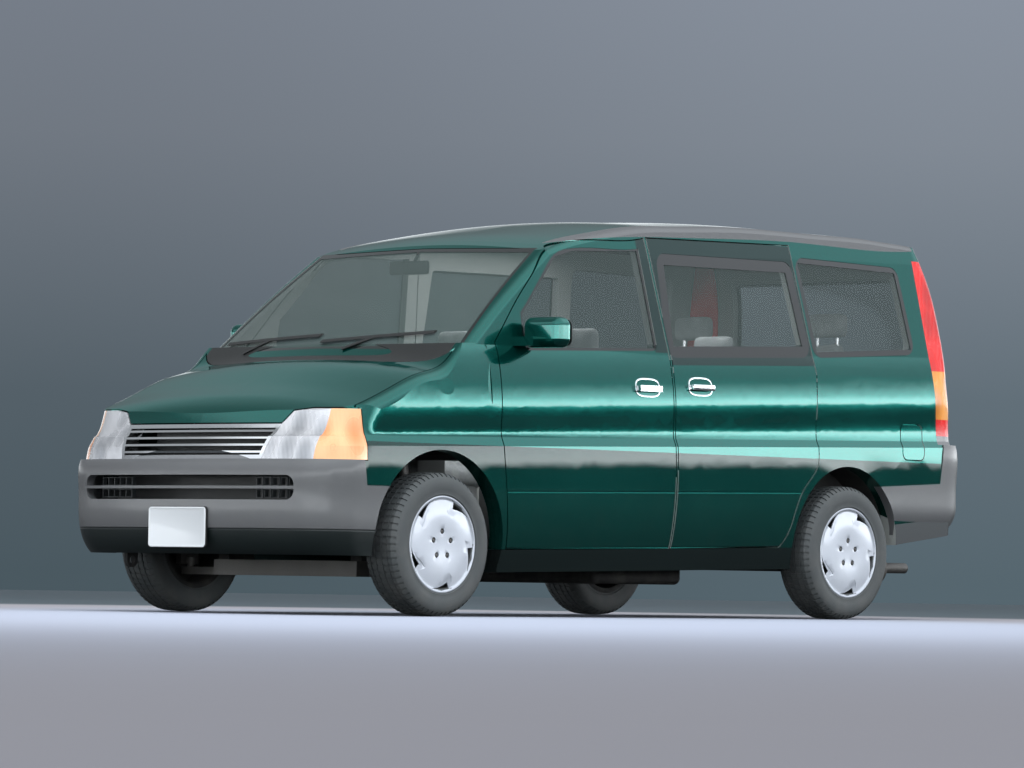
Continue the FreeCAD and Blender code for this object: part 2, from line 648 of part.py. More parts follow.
DOOR_INNER_SHARE = 0.7450


def hinge_line():
    """Where the left front door's hinge axis stands: the most forward and outward place of its edge."""
    edge = [(y * LENGTH, z * HEIGHT) for y, z in FRONT_DOOR_SHARES[0]]
    return max(side_x(y, z) for y, z in edge), min(y for y, z in edge)


def edge_y(z):
    """Where the front door's front edge lies at a height."""
    edge = sorted((share_z * HEIGHT, share_y * LENGTH) for share_y, share_z in FRONT_DOOR_SHARES[0])
    for (z0, y0), (z1, y1) in zip(edge, edge[1:]):
        if z0 <= z <= z1:
            return y0 + (y1 - y0) * (z - z0) / (z1 - z0)


def door_hinges():
    """Leaves of the left front door's hinges, and their pockets, whose lower faces carry them."""
    plate, wide, reach = S["hinge_plate"], S["hinge_width"], S["hinge_reach"]
    leaves, pockets = [], []
    for share in HINGE_HEIGHT_SHARES:
        z = share * HEIGHT
        y = edge_y(z)
        skin_x = side_x(y, z) - S["skin_depth"]
        x1 = skin_x - reach
        x0 = x1 - wide
        leaves.append(slab(x0, x1, y - reach, y + reach, z, z + plate))
        pockets.append(slab(x0 - GAP, skin_x, y - reach - GAP, y, z - S["seat_touch"], z + plate + GAP))
    return leaves, pockets


def make_side(body):
    """Doors and side glass. Returns the shells of the left side and of the right side."""
    inner = DOOR_INNER_SHARE * HALF

    def door_prism(grow):
        return side_prism(FRONT_DOOR_SHARES, 0, grow, inner - grow)

    def slide_prism(grow):
        return side_prism(SLIDE_DOOR_SHARES, 0, grow, inner - grow)

    sill = body.wall.common(side_prism(SILL_SHARES, 0, 0, inner))
    keep("sills", both(sill))
    body.take([sill])
    door, losses = swinging(body, door_prism)
    window = side_prism(DOOR_WINDOW_SHARES, S["glass_round"] / 2, 0, inner)
    clear = side_prism(DOOR_WINDOW_SHARES, S["glass_round"] / 2, -S["glass_overlap"] / 2, inner)
    pane, door = seat_pane(body, window, clear, door)
    leaves, pockets = door_hinges()
    body.take(losses + pockets)
    door = door.fuse(leaves)
    keep("door_front_left", door)
    keep("door_front_right", mirrored(door))
    keep("glass_front_left", pane)
    keep("glass_front_right", mirrored(pane))
    window = side_prism(QUARTER_WINDOW_SHARES, S["glass_round"], 0, inner)
    clear = side_prism(QUARTER_WINDOW_SHARES, S["glass_round"], -S["glass_overlap"], inner)
    quarter, body.shell = seat_pane(body, window, clear, body.shell)
    window = side_prism(SLIDE_WINDOW_SHARES, S["glass_round"], 0, inner)
    clear = side_prism(SLIDE_WINDOW_SHARES, S["glass_round"], -2 * S["glass_overlap"], inner)
    slide, losses = swinging(body, slide_prism)
    pane, slide = seat_pane(body, window.common(slide_prism(-GAP / 2)), clear, slide)
    keep("door_slide", slide)
    middle, right = seat_pane(body, window, clear, body.shell)
    keep("side_glasses", Part.makeCompound([quarter, mirrored(quarter), pane, mirrored(middle)]))
    left = body.shell
    for tool in losses:
        left = left.cut(tool)
    left = make_fuel_lid(body, left)
    strip = body.wall.common(side_prism(SLIDE_RAIL_SHARES, 0, 0, inner))
    left = left.cut(strip)
    keep("slide_rail", strip)
    return left, right


def make_fuel_lid(body, left):
    """The fuel lid, in its pocket with a flat floor."""
    floor_x = min(side_x(y * LENGTH, z * HEIGHT) for y, z in FUEL_LID_SHARES) - S["lid_depth"]
    room = side_prism(FUEL_LID_SHARES, S["lid_corner"], GAP / 2, floor_x)
    panel = body.wall.common(side_prism(FUEL_LID_SHARES, S["lid_corner"], -GAP / 2, floor_x + S["seat_touch"]))
    keep("fuel_lid", panel)
    return left.cut(room)


COWL_SHARES = ((-0.8700, -0.3500), (0.8700, -0.3500), (0.8700, -0.2900), (-0.8700, -0.2900))
# Wiper blades seen from the front, and the pivots of their arms.
WIPER_SHARES = (((-0.7900, 0.6560), (-0.0700, 0.6720)), ((-0.0200, 0.6560), (0.6600, 0.6760)))
PIVOT_SHARES = ((-0.5600, 0.6300), (0.1800, 0.6360))


def make_screen(body):
    y0, y1 = FRONT_END, 0
    shares = bow_line(SCREEN_SHARES, SCREEN_TOP_DIP, SCREEN_TOP_DIP)
    full = front_prism(shares, 0, 0, y0, y1)
    clear = front_prism(shares, 0, -S["glass_overlap"], y0, y1)
    pane, body.shell = seat_pane(body, full, clear, body.shell)
    keep("windshield", whole(pane))
    cowl = body.wall.common(plan_prism(COWL_SHARES, 0, 0, HEIGHT / 2, HEIGHT)).cut(body.green)
    cowl = cowl.cut(plan_prism(HOOD_PLAN_SHARES, 0, GAP / 2, HEIGHT / 2, HEIGHT))
    keep("cowl", whole(cowl))
    body.take([cowl])
    layer = greenhouse(-S["wiper_section"])
    layer = layer.fuse(mirrored(layer)).cut(whole(body.glass_out))
    around_screen = greenhouse(-S["seat_touch"]).cut(full)
    arms = []
    for ((x0, z0), (x1, z1)), (xp, zp) in zip(WIPER_SHARES, PIVOT_SHARES):
        arms.append(layer.common(strip_prism((x0, z0), (x1, z1), S["wiper_section"])))
        arms.append(layer.common(strip_prism((xp, zp), ((x0 + x1) / 2, (z0 + z1) / 2), S["wiper_section"])))
    keep("wipers", arms[0].fuse(arms[1:]).cut([whole(cowl), whole(around_screen)]))


def strip_prism(a, b, width):
    """A straight strip between two places seen from the front, run through the windshield."""
    ax, az, bx, bz = a[0] * HALF, a[1] * HEIGHT, b[0] * HALF, b[1] * HEIGHT
    length = math.hypot(bx - ax, bz - az)
    ox, oz = -(bz - az) / length * width / 2, (bx - ax) / length * width / 2
    y0, y1 = GREEN_SHARES[0][3] * LENGTH, 0
    corners = [V(ax + ox, y0, az + oz), V(bx + ox, y0, bz + oz), V(bx - ox, y0, bz - oz), V(ax - ox, y0, az - oz)]
    return Part.Face(Part.makePolygon(corners + corners[:1])).extrude(V(0, y1 - y0, 0))


def make_rear(body):
    y0, y1 = GATE_FRONT_SHARE * LENGTH, REAR_END + OVER

    def gate_prism(grow):
        return front_prism(TAILGATE_SHARES, 0, grow, y0, y1)

    gate, losses = swinging(body, gate_prism)
    window = front_prism(REAR_GLASS_SHARES, S["glass_round"], 0, y0, y1)
    clear = front_prism(REAR_GLASS_SHARES, S["glass_round"], -S["glass_overlap"], y0, y1)
    pane, gate = seat_pane(body, window, clear, gate)
    x, y, z = GATE_HINGE_SHARE * HALF, GREEN_SHARES[-2][4] * LENGTH - S["wall_upper"] * 4 / 5, TAILGATE_SHARES[3][1] * HEIGHT
    plate, reach = S["hinge_plate"], S["hinge_reach"]
    leaf = slab(x, x + plate, y, y + plate * 2, z - reach, z + reach)
    losses.append(slab(x - GAP, x + plate + S["seat_touch"], y - 4 * GAP, y + plate * 2 + GAP, z - reach, z + reach + GAP))
    gate = gate.fuse(leaf)
    keep("tailgate", whole(gate))
    keep("tailgate_glass", whole(pane))
    body.take(losses)
    lamp_side = side_prism(TAIL_LAMP_SHARES, 0, 0, TAILGATE_SHARES[1][0] * HALF / 2)
    lamp_side = lamp_side.cut(gate_prism(GAP / 2))
    lamp = body.wall.common(lamp_side)
    keep("tail_lamps", both(lamp))
    body.take([lamp])


def make_roof(body):
    low, high = 0.8 * HEIGHT, HEIGHT + OVER
    plan = plan_prism(ROOF_PLAN_SHARES, 0, 0, low, high)
    panel = body.wall.common(plan)
    keep("roof_panel", whole(panel))
    rail = side_prism(RAIL_SHARES, 0, 0, RAIL_INNER_SHARE * HALF).cut(plan)
    moulding = body.wall.common(rail)
    keep("roof_mouldings", both(moulding))
    body.take([panel, moulding])


def make_front(body):
    y0, y1 = FRONT_END - OVER, LAMP_REAR_SHARE * LENGTH
    gap = S["trim_gap"]
    seat = S["seat_touch"]
    lamp_full = front_prism(LAMP_SHARES, 0, gap, y0, y1 + gap)
    grille = body.wall.common(front_prism(GRILLE_SHARES, 0, -seat, y0, y1))
    hole = front_prism(GRILLE_SHARES, 0, -S["grille_frame"], y0, y1)
    bars = []
    low, high = GRILLE_SHARES[2][1] * HEIGHT, GRILLE_SHARES[0][1] * HEIGHT
    count = 4
    for i in range(count):
        z = low + (high - low) * (i + 1) / (count + 1)
        bars.append(slab(-HALF, HALF, y0, y1, z - S["grille_bar"] / 2, z + S["grille_bar"] / 2))
    keep("grille", whole(grille.cut(hole.cut(bars))))
    lamp = body.wall.common(front_prism(LAMP_SHARES, 0, -seat, y0, y1))
    amber_zone = slab(0.80 * HALF, HALF + OVER, y0, y1, 0, HEIGHT)
    keep("headlamps", both(lamp.cut(amber_zone)))
    keep("turn_signals", both(lamp.common(amber_zone)))
    hood = body.wall.common(plan_prism(HOOD_PLAN_SHARES, 0, -GAP / 2, 0, HEIGHT))
    low_cut = slab(-HALF, HALF, FRONT_END, 0, 0, GRILLE_SHARES[2][1] * HEIGHT)
    hood = hood.cut([front_prism(GRILLE_SHARES, 0, GAP, y0, y1), front_prism(LAMP_SHARES, 0, GAP, y0, y1), low_cut])
    behind_lamps = slab(-HALF - OVER, HALF + OVER, y1 - gap, REAR_END, 0, HEIGHT)
    hood = hood.cut(under_hood(S["panel_depth"]).common(behind_lamps))
    x, y = HOOD_HINGE_SHARES[0] * HALF, HOOD_HINGE_SHARES[1] * LENGTH
    leaf = slab(x - S["hinge_plate"], x, y - S["leaf_length"], y, HOOD_HINGE_SHARES[2] * HEIGHT, HEIGHT)
    keep("hood", whole(hood.fuse(leaf.common(body.inner))))
    plan = plan_prism(HOOD_PLAN_SHARES, 0, GAP / 2, 0, HEIGHT)
    door = side_prism(FRONT_DOOR_SHARES, 0, GAP / 2, HALF / 2)
    front_y, rear_y = FRONT_END, FRONT_DOOR_SHARES[1][0][0] * LENGTH
    zone = slab(HALF / 2, HALF + OVER, front_y, rear_y, 0, 0.655 * HEIGHT)
    sill = side_prism(SILL_SHARES, 0, gap / 2, HALF / 2)
    bumper_side = side_prism(FRONT_BUMPER_SIDE_SHARES, 0, gap / 2, -OVER)
    for tool in [plan, lamp_full, door, plan_prism(COWL_SHARES, 0, 0, -OVER, HEIGHT), sill, bumper_side] + door_hinges()[1]:
        zone = zone.cut(tool)
    fender = body.wall.common(zone).cut(body.green)
    keep("fenders", both(max(fender.Solids, key=lambda piece: piece.Volume)))
    front = slab(-OVER, HALF + OVER, FRONT_END - OVER, FIREWALL_SHARE * LENGTH, 0, 0.66 * HEIGHT)
    body.take([front.cut(body.green), plan, fender])


def whole(half):
    """The left half and its mirror image, as one solid."""
    return half.fuse(mirrored(half))


def bumper_form(rows, bows, inset):
    wires = [plan_wire((z * HEIGHT, 0, w * HALF, f * LENGTH, r * LENGTH), bows, inset)
             for z, w, f, r in rows]
    return Part.makeLoft(wires, True, False)


FRONT_BUMPER_SHARES = (
    (0.1393, 0.960, -0.4850, 0.30), (0.1640, 0.972, -0.4925, 0.30), (0.1967, 0.985, -0.4965, 0.30),
    (0.2459, 0.990, -0.4982, 0.30), (0.3060, 0.996, -0.4982, 0.30), (0.3500, 0.998, -0.4970, 0.30),
    (0.3612, 0.996, -0.4950, 0.30),
)
REAR_BUMPER_SHARES = (
    (0.2180, 0.960, -0.30, 0.4830), (0.2404, 0.976, -0.30, 0.4910), (0.2640, 0.990, -0.30, 0.4970),
    (0.3060, 0.995, -0.30, 0.4992), (0.3825, 0.998, -0.30, 0.5000), (0.4370, 0.998, -0.30, 0.4995),
    (0.4546, 0.994, -0.30, 0.4975),
)
FRONT_BUMPER_SIDE_SHARES = ((-0.51, 0.10), (-0.36, 0.10), (-0.36, 0.3022), (-0.4300, 0.3022),
                            (-0.4345, 0.3700), (-0.51, 0.3700))
REAR_BUMPER_SIDE_SHARES = ((0.3550, 0.1900), (0.51, 0.2200), (0.51, 0.4600), (0.4390, 0.4600),
                           (0.4330, 0.3530), (0.3300, 0.3404))
BUMPER_SLOT_SHARES = ((-0.7375, 0.2661), (0.7375, 0.2661), (0.7375, 0.3235), (-0.7375, 0.3235))


def bumper(body, rows, side_shares, name, slots):
    bows = (S["front_bow"], S["front_corner"], S["rear_bow"], S["front_corner"],
            S["side_bow_front"], S["side_bow_rear"], TUB_MIDDLE_SHARE * LENGTH)
    outer = bumper_form(rows, bows, 0).common(side_prism(side_shares, 0, 0, -OVER))
    inner = bumper_form(rows, bows, S["bumper_depth"])
    inner.translate(V(0, 0, -S["bumper_shelf"]))
    foot = inner.copy()
    foot.translate(V(0, 0, -2 * S["bumper_shelf"]))
    well = bumper_form(rows, bows, S["bumper_reach"])
    well.translate(V(0, 0, S["bumper_shelf"]))
    form = outer.cut(inner).cut(foot).cut(well)
    body.take([form])
    for tool in wheel_space() + slots:
        form = form.cut(tool)
    keep(name, whole(form))
    return form


def make_bumpers(body):
    slot = front_prism(BUMPER_SLOT_SHARES, S["door_round"], 0, FRONT_END - OVER, FRONT_END + 3 * OVER)
    middle = (BUMPER_SLOT_SHARES[0][1] + BUMPER_SLOT_SHARES[2][1]) / 2 * HEIGHT
    bar = slab(-HALF, HALF, FRONT_END - OVER, FRONT_END + 3 * OVER, middle - S["slot_bar"] / 2,
               middle + S["slot_bar"] / 2)
    front = bumper(body, FRONT_BUMPER_SHARES, FRONT_BUMPER_SIDE_SHARES, "front_bumper", [slot.cut(bar)])
    bumper(body, REAR_BUMPER_SHARES, REAR_BUMPER_SIDE_SHARES, "rear_bumper", [])
    plate = slab(0, S["plate_width"] / 2, FRONT_END, FRONT_END + S["plate_thickness"], S["plate_z"],
                 S["plate_z"] + S["plate_height"])
    keep("number_plate", whole(plate.cut(front)))


def turned(name, profile, x, y, z, half_turn=False):
    """A PartDesign body whose sketch, along the axle and outwards, is revolved about the axle."""
    body = DOC.addObject("PartDesign::Body", name)
    sketch = body.newObject("Sketcher::SketchObject", name + "_profile")
    plane = next(f for f in body.Origin.OriginFeatures if f.Role == "XY_Plane")
    sketch.AttachmentSupport = [(plane, "")]
    sketch.MapMode = "FlatFace"
    count = len(profile)
    for i in range(count):
        a, b = profile[i], profile[(i + 1) % count]
        sketch.addGeometry(Part.LineSegment(V(a[0], a[1], 0), V(b[0], b[1], 0)))
    for i in range(count):
        sketch.addConstraint(Sketcher.Constraint("Coincident", i, 2, (i + 1) % count, 1))
    for i, (along, out) in enumerate(profile):
        for kind, value in (("DistanceX", along), ("DistanceY", out)):
            index = sketch.addConstraint(Sketcher.Constraint(kind, -1, 1, i, 1, float(value)))
            if isinstance(value, Size):
                sketch.setExpression("Constraints[%d]" % index, value.text)
    spun = body.newObject("PartDesign::Revolution", name + "_turn")
    spun.Profile = sketch
    spun.ReferenceAxis = (sketch, ["H_Axis"])
    spun.Angle = 360
    turn = FreeCAD.Rotation(V(0, 0, 1), 180 if half_turn else 0)
    place(body, x, y, z, turn)
    return named(name, body)


# The tread's half-width, as a share of the tyre's.
TREAD_SHARE = 0.8000


def make_wheels():
    tread = S["tyre_width"] / 2
    out, bead, lip = S["tyre_radius"], S["rim_radius"], S["rim_lip"]
    shoulder, flange, wall = S["tyre_shoulder"], S["rim_flange"], S["rim_wall"]
    seat = tread - S["cover_sink"] - lip
    foot = seat - S["seat_touch"]
    half = [(tread * TREAD_SHARE, out), (tread, out - shoulder), (foot, flange + lip / 2),
            (foot, bead + S["seat_touch"])]
    tyre = [(-a, r) for a, r in reversed(half)] + half
    face = tread - S["cover_sink"]
    cover = S["cover_depth"]
    hub_end = face - cover - S["hub_length"]
    wheel = [
        (hub_end, S["hub_bore"]), (face - 3 * cover, S["hub_bore"]), (face - 3 * cover, 0), (face - cover * 0.4, 0),
        (face, S["hub_radius"]), (face - cover * 0.3, flange * 0.75), (face - cover * 0.1, flange * 0.95),
        (face - cover * 0.3, flange), (seat, flange), (seat, bead), (-seat, bead), (-seat, flange),
        (-seat - lip / 2, flange), (-seat - lip / 2, bead - wall), (face - 5 * cover, bead - wall),
        (face - 6 * cover, bead - 3 * wall), (face - 6 * cover, S["hub_radius"]), (hub_end, S["hub_radius"]),
    ]
    for y, row in ((FRONT_AXLE, "front"), (REAR_AXLE, "rear")):
        for side, word in ((1, "left"), (-1, "right")):
            x = side * S["track_width"] / 2
            turned("tyre_%s_%s" % (row, word), tyre, x, y, AXLE_Z, side < 0)
            turned("wheel_%s_%s" % (row, word), wheel, x, y, AXLE_Z, side < 0)


# Lower and upper ends of the king pin line, as shares of the half-width and of the height.
KING_PIN_SHARES = ((0.8142, 0.1038), (0.6372, 0.4918))
TOWER_TOP = KING_PIN_SHARES[1][1] * HEIGHT


def king_point(z):
    (x0, z0), (x1, z1) = [(x * HALF, z * HEIGHT) for x, z in KING_PIN_SHARES]
    return V(x0 + (x1 - x0) * (z - z0) / (z1 - z0), FRONT_AXLE, z)


def along_king_pin(radius, low, high):
    a, b = king_point(low), king_point(high)
    return Part.makeCylinder(radius, (b - a).Length, a, b - a)


def hub_end():
    """Inner end of the hubs, measured from the middle of the car."""
    return (S["track_width"] / 2 + S["tyre_width"] / 2 - S["cover_sink"] - S["cover_depth"] - S["hub_length"])


def make_front_axle():
    plate, wide = S["knuckle_plate"], S["knuckle_width"]
    play = S["running_play"]
    face = hub_end() - play
    low, high = AXLE_Z + wide * 0.8, AXLE_Z + wide * 1.5
    foot = AXLE_Z - wide + S["arm_clearance"]
    knuckle = slab(face - plate, face, FRONT_AXLE - wide / 2, FRONT_AXLE + wide / 2, foot, AXLE_Z + wide)
    pin = Part.makeCylinder(S["spindle_radius"], S["hub_length"] - 2 * S["cover_depth"], V(face - play, FRONT_AXLE, AXLE_Z),
                            V(1, 0, 0))
    sleeve = along_king_pin(S["strut_radius"] + S["rim_wall"], low, high)
    link = slab(king_point(low).x, face, FRONT_AXLE - wide / 4, FRONT_AXLE + wide / 4, low, AXLE_Z + wide)
    bore = along_king_pin(S["strut_radius"] + S["strut_play"], low - OVER, high + OVER)
    lug_top = foot + S["king_pin_length"]
    lug = along_king_pin(S["king_pin_radius"] + S["rim_wall"], foot, lug_top)
    lug_bore = along_king_pin(S["king_pin_radius"] + S["strut_play"], foot - OVER, lug_top + S["king_pin_radius"])
    knuckle = knuckle.fuse([sleeve, link, pin, lug]).cut([bore, lug_bore])
    keep("knuckle_left", knuckle)
    keep("knuckle_right", mirrored(knuckle))
    strut = along_king_pin(S["strut_radius"], low, TOWER_TOP + OVER)
    spring = along_king_pin(S["spring_radius"], TOWER_TOP * 0.74, TOWER_TOP + OVER)
    ball_z = AXLE_Z - wide - S["seat_touch"]
    high_arm = S["arm_height"]
    tip = king_point(ball_z).x + wide / 4
    arm = slab(S["rail_width"] * 3, tip, FRONT_AXLE - wide / 4, FRONT_AXLE + wide / 4, ball_z - high_arm, ball_z)
    beam = slab(0, S["rail_width"] * 5.4, FRONT_AXLE - wide, FRONT_AXLE + wide, ball_z - high_arm, ball_z + high_arm)
    above = slab(0, HALF, FRONT_AXLE - 2 * wide, FRONT_AXLE + 2 * wide, TOWER_TOP, HEIGHT)
    half = strut.fuse(spring).cut(above)
    stud = along_king_pin(S["king_pin_radius"], ball_z - high_arm / 2, lug_top)
    keep("front_suspension", Part.makeCompound([half, mirrored(half), whole(arm.fuse([beam, stud]))]))


def make_rear_axle():
    wide, play = S["knuckle_width"], S["running_play"]
    end = hub_end() - play
    reach = end + S["hub_length"] - 2 * S["cover_depth"]
    things = [rod("rear_beam", S["beam_radius"], 2 * end, -end, REAR_AXLE, AXLE_Z, "x"),
              rod("rear_spindles", S["spindle_radius"], 2 * reach, -reach, REAR_AXLE, AXLE_Z, "x")]
    for side, word in ((1, "left"), (-1, "right")):
        x = side * S["arm_spread"]
        step = FLOOR_STEP_SHARE * LENGTH
        things.append(block("trailing_arm_" + word, x - wide / 4, step, AXLE_Z - wide / 4, wide / 2,
                            REAR_AXLE - step, wide / 2))
        things.append(rod("rear_spring_" + word, S["spring_radius"], REAR_FLOOR_Z - AXLE_Z, x, REAR_AXLE, AXLE_Z))
    joined("rear_axle", things)


HANDLE_SHARES = {"front_left": (-0.0373, 0.5600), "slide": (0.0430, 0.5690)}
MIRROR_SHARES = (-0.2035, 0.6790)


def handle_form(y, z):
    """A pull handle standing on the left side: a bar on two feet."""
    long, high, stand, bar = S["handle_length"], S["handle_height"], S["handle_stand"], S["handle_bar"]
    x = side_x(y, z)
    grip = slab(x - 2 * stand, x + stand, y - long / 2, y + long / 2, z - high / 2, z + high / 2)
    room = slab(x - 3 * stand, x + stand - bar, y - long / 2 + bar, y + long / 2 - bar, z - high, z + high)
    return grip.cut(room)


def make_fittings(body):
    """Door handles and outside mirrors."""
    for name, (y, z) in HANDLE_SHARES.items():
        handle = handle_form(y * LENGTH, z * HEIGHT).cut(body.outer)
        keep("handle_" + name, handle)
        if name == "front_left":
            keep("handle_front_right", mirrored(handle))
    y, z = MIRROR_SHARES[0] * LENGTH, MIRROR_SHARES[1] * HEIGHT
    x1 = HALF + S["mirror_stand"]
    wide, high, deep, soft = S["mirror_width"], S["mirror_height"], S["mirror_depth"], S["mirror_round"]
    case = slab(x1 - wide, x1, y - deep / 2, y + deep / 2, z - high / 2, z + high / 2)
    case = case.makeFillet(soft, case.Edges)
    arm = S["mirror_arm"]
    post = slab(HALF - 2 * wide, x1 - wide / 2, y - deep * 0.9, y - deep * 0.9 + arm, z - high * 0.45, z - high * 0.45 + arm)
    joint = slab(x1 - wide * 0.8, x1 - wide / 2, y - deep * 0.9, y, z - high * 0.45, z - high * 0.45 + arm)
    mirror = case.fuse([post, joint]).cut(body.outer)
    keep("mirror_left", mirror)
    keep("mirror_right", mirrored(mirror))


FLOOR_SHARES = (0.1640, 0.2420)
FLOOR_STEP_SHARE = 0.1910
REAR_FLOOR_Z = FLOOR_SHARES[1] * HEIGHT


def tow_eye(x, y, z, top):
    """A plate on a frame rail with a bore for a tow shackle."""
    wide = S["eye_width"]
    plate = slab(x, x + S["eye_plate"], y - wide / 2, y + wide / 2, z, top)
    foot = Part.makeCylinder(wide / 2, S["eye_plate"], V(x, y, z), V(1, 0, 0))
    hole = Part.makeCylinder(S["eye_radius"], S["eye_plate"] + 2 * OVER, V(x - OVER, y, z), V(1, 0, 0))
    return plate.fuse(foot).cut(hole)


# The radiator's support: half-width, top of the core and top of its wings.
RADIATOR_SHARES = (0.7080, 0.4300, 0.4000)


def make_floor():
    """Floor in two levels with a riser, the firewall, and the front frame rails and towers."""
    low, high = FLOOR_SHARES[0] * HEIGHT, REAR_FLOOR_Z
    thick = S["floor_thickness"]
    y0, y1, y2 = FIREWALL_SHARE * LENGTH, FLOOR_STEP_SHARE * LENGTH, REAR_BODY_SHARE * LENGTH
    plates = slab(0, HALF, y0, y1, low, low + thick).fuse([
        slab(0, HALF, y1 - thick, y2, high, high + thick), slab(0, HALF, y1 - thick, y1, low, high + thick)])
    inside = tub(S["wall_lower"] + 2 * S["seat_touch"], OVER)
    floor = plates.common(inside)
    around, room = wheel_space(S["panel_depth"]), wheel_space()
    house = around[1].cut(room[1]).common(inside).cut(slab(0, HALF, y1 - 2 * OVER, REAR_END, 0, high))
    floor = floor.cut(around[0]).cut(around[1]).fuse(house)
    rail_x, rail_z = S["rail_width"] * 4.6, AXLE_Z + S["rail_height"]
    floor = whole(floor).fuse(mirrored(tow_eye(rail_x, y2 - S["eye_width"], S["rear_eye_z"], high)))
    wall = slab(0, HALF, y0, y0 + S["firewall_thickness"], low + thick, FIREWALL_TOP_SHARE * HEIGHT)
    wall = wall.common(inside.common(under_hood(S["panel_depth"])))
    for tool in wheel_space(S["panel_depth"]):
        wall = wall.cut(tool)
    x, y = HOOD_HINGE_SHARES[0] * HALF + S["seat_touch"], HOOD_HINGE_SHARES[1] * LENGTH
    z = HOOD_HINGE_SHARES[2] * HEIGHT
    leaf = slab(x, x + S["hinge_plate"], y - S["leaf_length"], y0, z, z + S["hinge_width"])
    keep("floor_pan", floor.fuse(whole(wall.fuse(leaf))))
    rail_y = FRONT_END + OVER * 5 / 2
    rail = slab(rail_x, rail_x + S["rail_width"], rail_y, y0, rail_z, rail_z + S["rail_height"])
    tower = king_point(TOWER_TOP)
    reach = S["tower_size"] / 2
    top = slab(rail_x + S["rail_width"] / 2, tower.x + reach, FRONT_AXLE - reach, FRONT_AXLE + reach,
               TOWER_TOP, TOWER_TOP + S["firewall_thickness"] / 2)
    side = slab(rail_x + S["rail_width"] / 2, rail_x + S["rail_width"], FRONT_AXLE - reach, FRONT_AXLE + reach,
                rail_z, TOWER_TOP + S["firewall_thickness"] / 2)
    cross = slab(0, rail_x + S["rail_width"], FRONT_END + 3 * OVER, FRONT_END + 4 * OVER, rail_z, rail_z + S["rail_height"])
    beam_top = AXLE_Z - S["knuckle_width"] - S["seat_touch"] + S["arm_height"]
    post = slab(rail_x, rail_x + S["rail_width"] * 4 / 5, FRONT_AXLE - S["rail_width"], FRONT_AXLE + S["rail_width"],
                beam_top, rail_z)
    engine_y = ENGINE_FRONT + S["engine_length"] / 2
    mount = slab(S["engine_width"] / 2, rail_x + S["seat_round"], engine_y - S["rail_width"], engine_y + S["rail_width"],
                 rail_z + S["seat_round"], rail_z + S["rail_height"])
    eye = tow_eye(rail_x + S["rail_width"], rail_y + S["eye_width"] / 2, S["front_eye_z"], rail_z + S["rail_height"])
    keep("front_frame", whole(rail.fuse([top, side, cross, post, mount])).fuse(mirrored(eye)))
    core_y = FRONT_END + 4 * OVER
    core_top = RADIATOR_SHARES[1] * HEIGHT
    core = slab(0, rail_x - S["seat_touch"], core_y, core_y + S["radiator_depth"], AXLE_Z, core_top)
    wing = slab(0, RADIATOR_SHARES[0] * HALF, core_y, core_y + S["radiator_depth"], rail_z + S["rail_height"] + S["seat_touch"],
                RADIATOR_SHARES[2] * HEIGHT)
    keep("radiator", whole(core.fuse(wing)))


ENGINE_FRONT = FRONT_END + 6 * OVER


def make_under():
    """Engine block, fuel tank and exhaust."""
    y = ENGINE_FRONT
    engine = block("engine_solid", -S["engine_width"] / 2, y, AXLE_Z, S["engine_width"], S["engine_length"],
                   S["engine_height"], S["seat_round"])
    named("engine_block", engine)
    tank = block("tank_solid", -S["tank_width"] / 2, 0, FLOOR_SHARES[0] * HEIGHT - S["tank_height"],
                 S["tank_width"], S["tank_length"], S["tank_height"], S["tank_round"])
    named("fuel_tank", tank)
    pipe_x = S["tank_width"] / 2 + 2 * S["exhaust_radius"]
    pipe_z = AXLE_Z - S["beam_radius"] - S["exhaust_radius"] - GAP
    start = FIREWALL_SHARE * LENGTH + OVER
    muffler_y = REAR_AXLE + S["muffler_length"] * 2 / 3
    things = [rod("muffler", S["muffler_radius"], S["muffler_length"], pipe_x, muffler_y, pipe_z, "y"),
              rod("exhaust_pipe", S["exhaust_radius"], REAR_END - S["muffler_radius"] - start, pipe_x, start, pipe_z, "y")]
    low, high = FLOOR_SHARES[0] * HEIGHT, REAR_FLOOR_Z
    for i, (y, top) in enumerate(((start + OVER, low), (muffler_y + OVER, high), (muffler_y + 5 * OVER, high))):
        things.append(block("hanger_%d" % i, pipe_x - S["exhaust_radius"] / 2, y, pipe_z, S["exhaust_radius"],
                            S["exhaust_radius"], top - pipe_z))
    joined("exhaust", things)
    board_y = REAR_AXLE + S["arch_radius_rear"] + 2 * S["panel_depth"]
    board = block("board_solid", -S["bench_width"] / 2, board_y, high + S["floor_thickness"], S["bench_width"],
                  REAR_BODY_SHARE * LENGTH - S["panel_depth"] - board_y, S["board_depth"])
    named("load_board", board)


def seat(name, x, y, floor, width, posts):
    """A seat: cushion, raked back and head rests, on a plain base."""
    pad, soft = S["seat_pad"], S["seat_round"]
    rise = S["seat_height"]
    things = [
        block(name + "_cushion", x - width / 2, y, floor + rise - pad, width, S["seat_cushion"], pad, soft),
        block(name + "_base", x - width / 2 + soft * 2, y + soft * 2, floor, width - 4 * soft,
              S["seat_cushion"] - 3 * soft, rise - pad / 2),
        block(name + "_back", x - width / 2, y + S["seat_cushion"] - pad / 2, floor + rise - pad / 2, width, pad,
              S["seat_back"], soft),
    ]
    for i, post in enumerate(posts):
        things.append(block("%s_rest_%d" % (name, i), x + post - S["head_rest_width"] / 2,
                            y + S["seat_cushion"] - pad / 2 + soft / 2, floor + rise + S["seat_back"] - pad / 2 - soft / 2,
                            S["head_rest_width"], S["head_rest_depth"], S["head_rest_height"], soft))
    return things


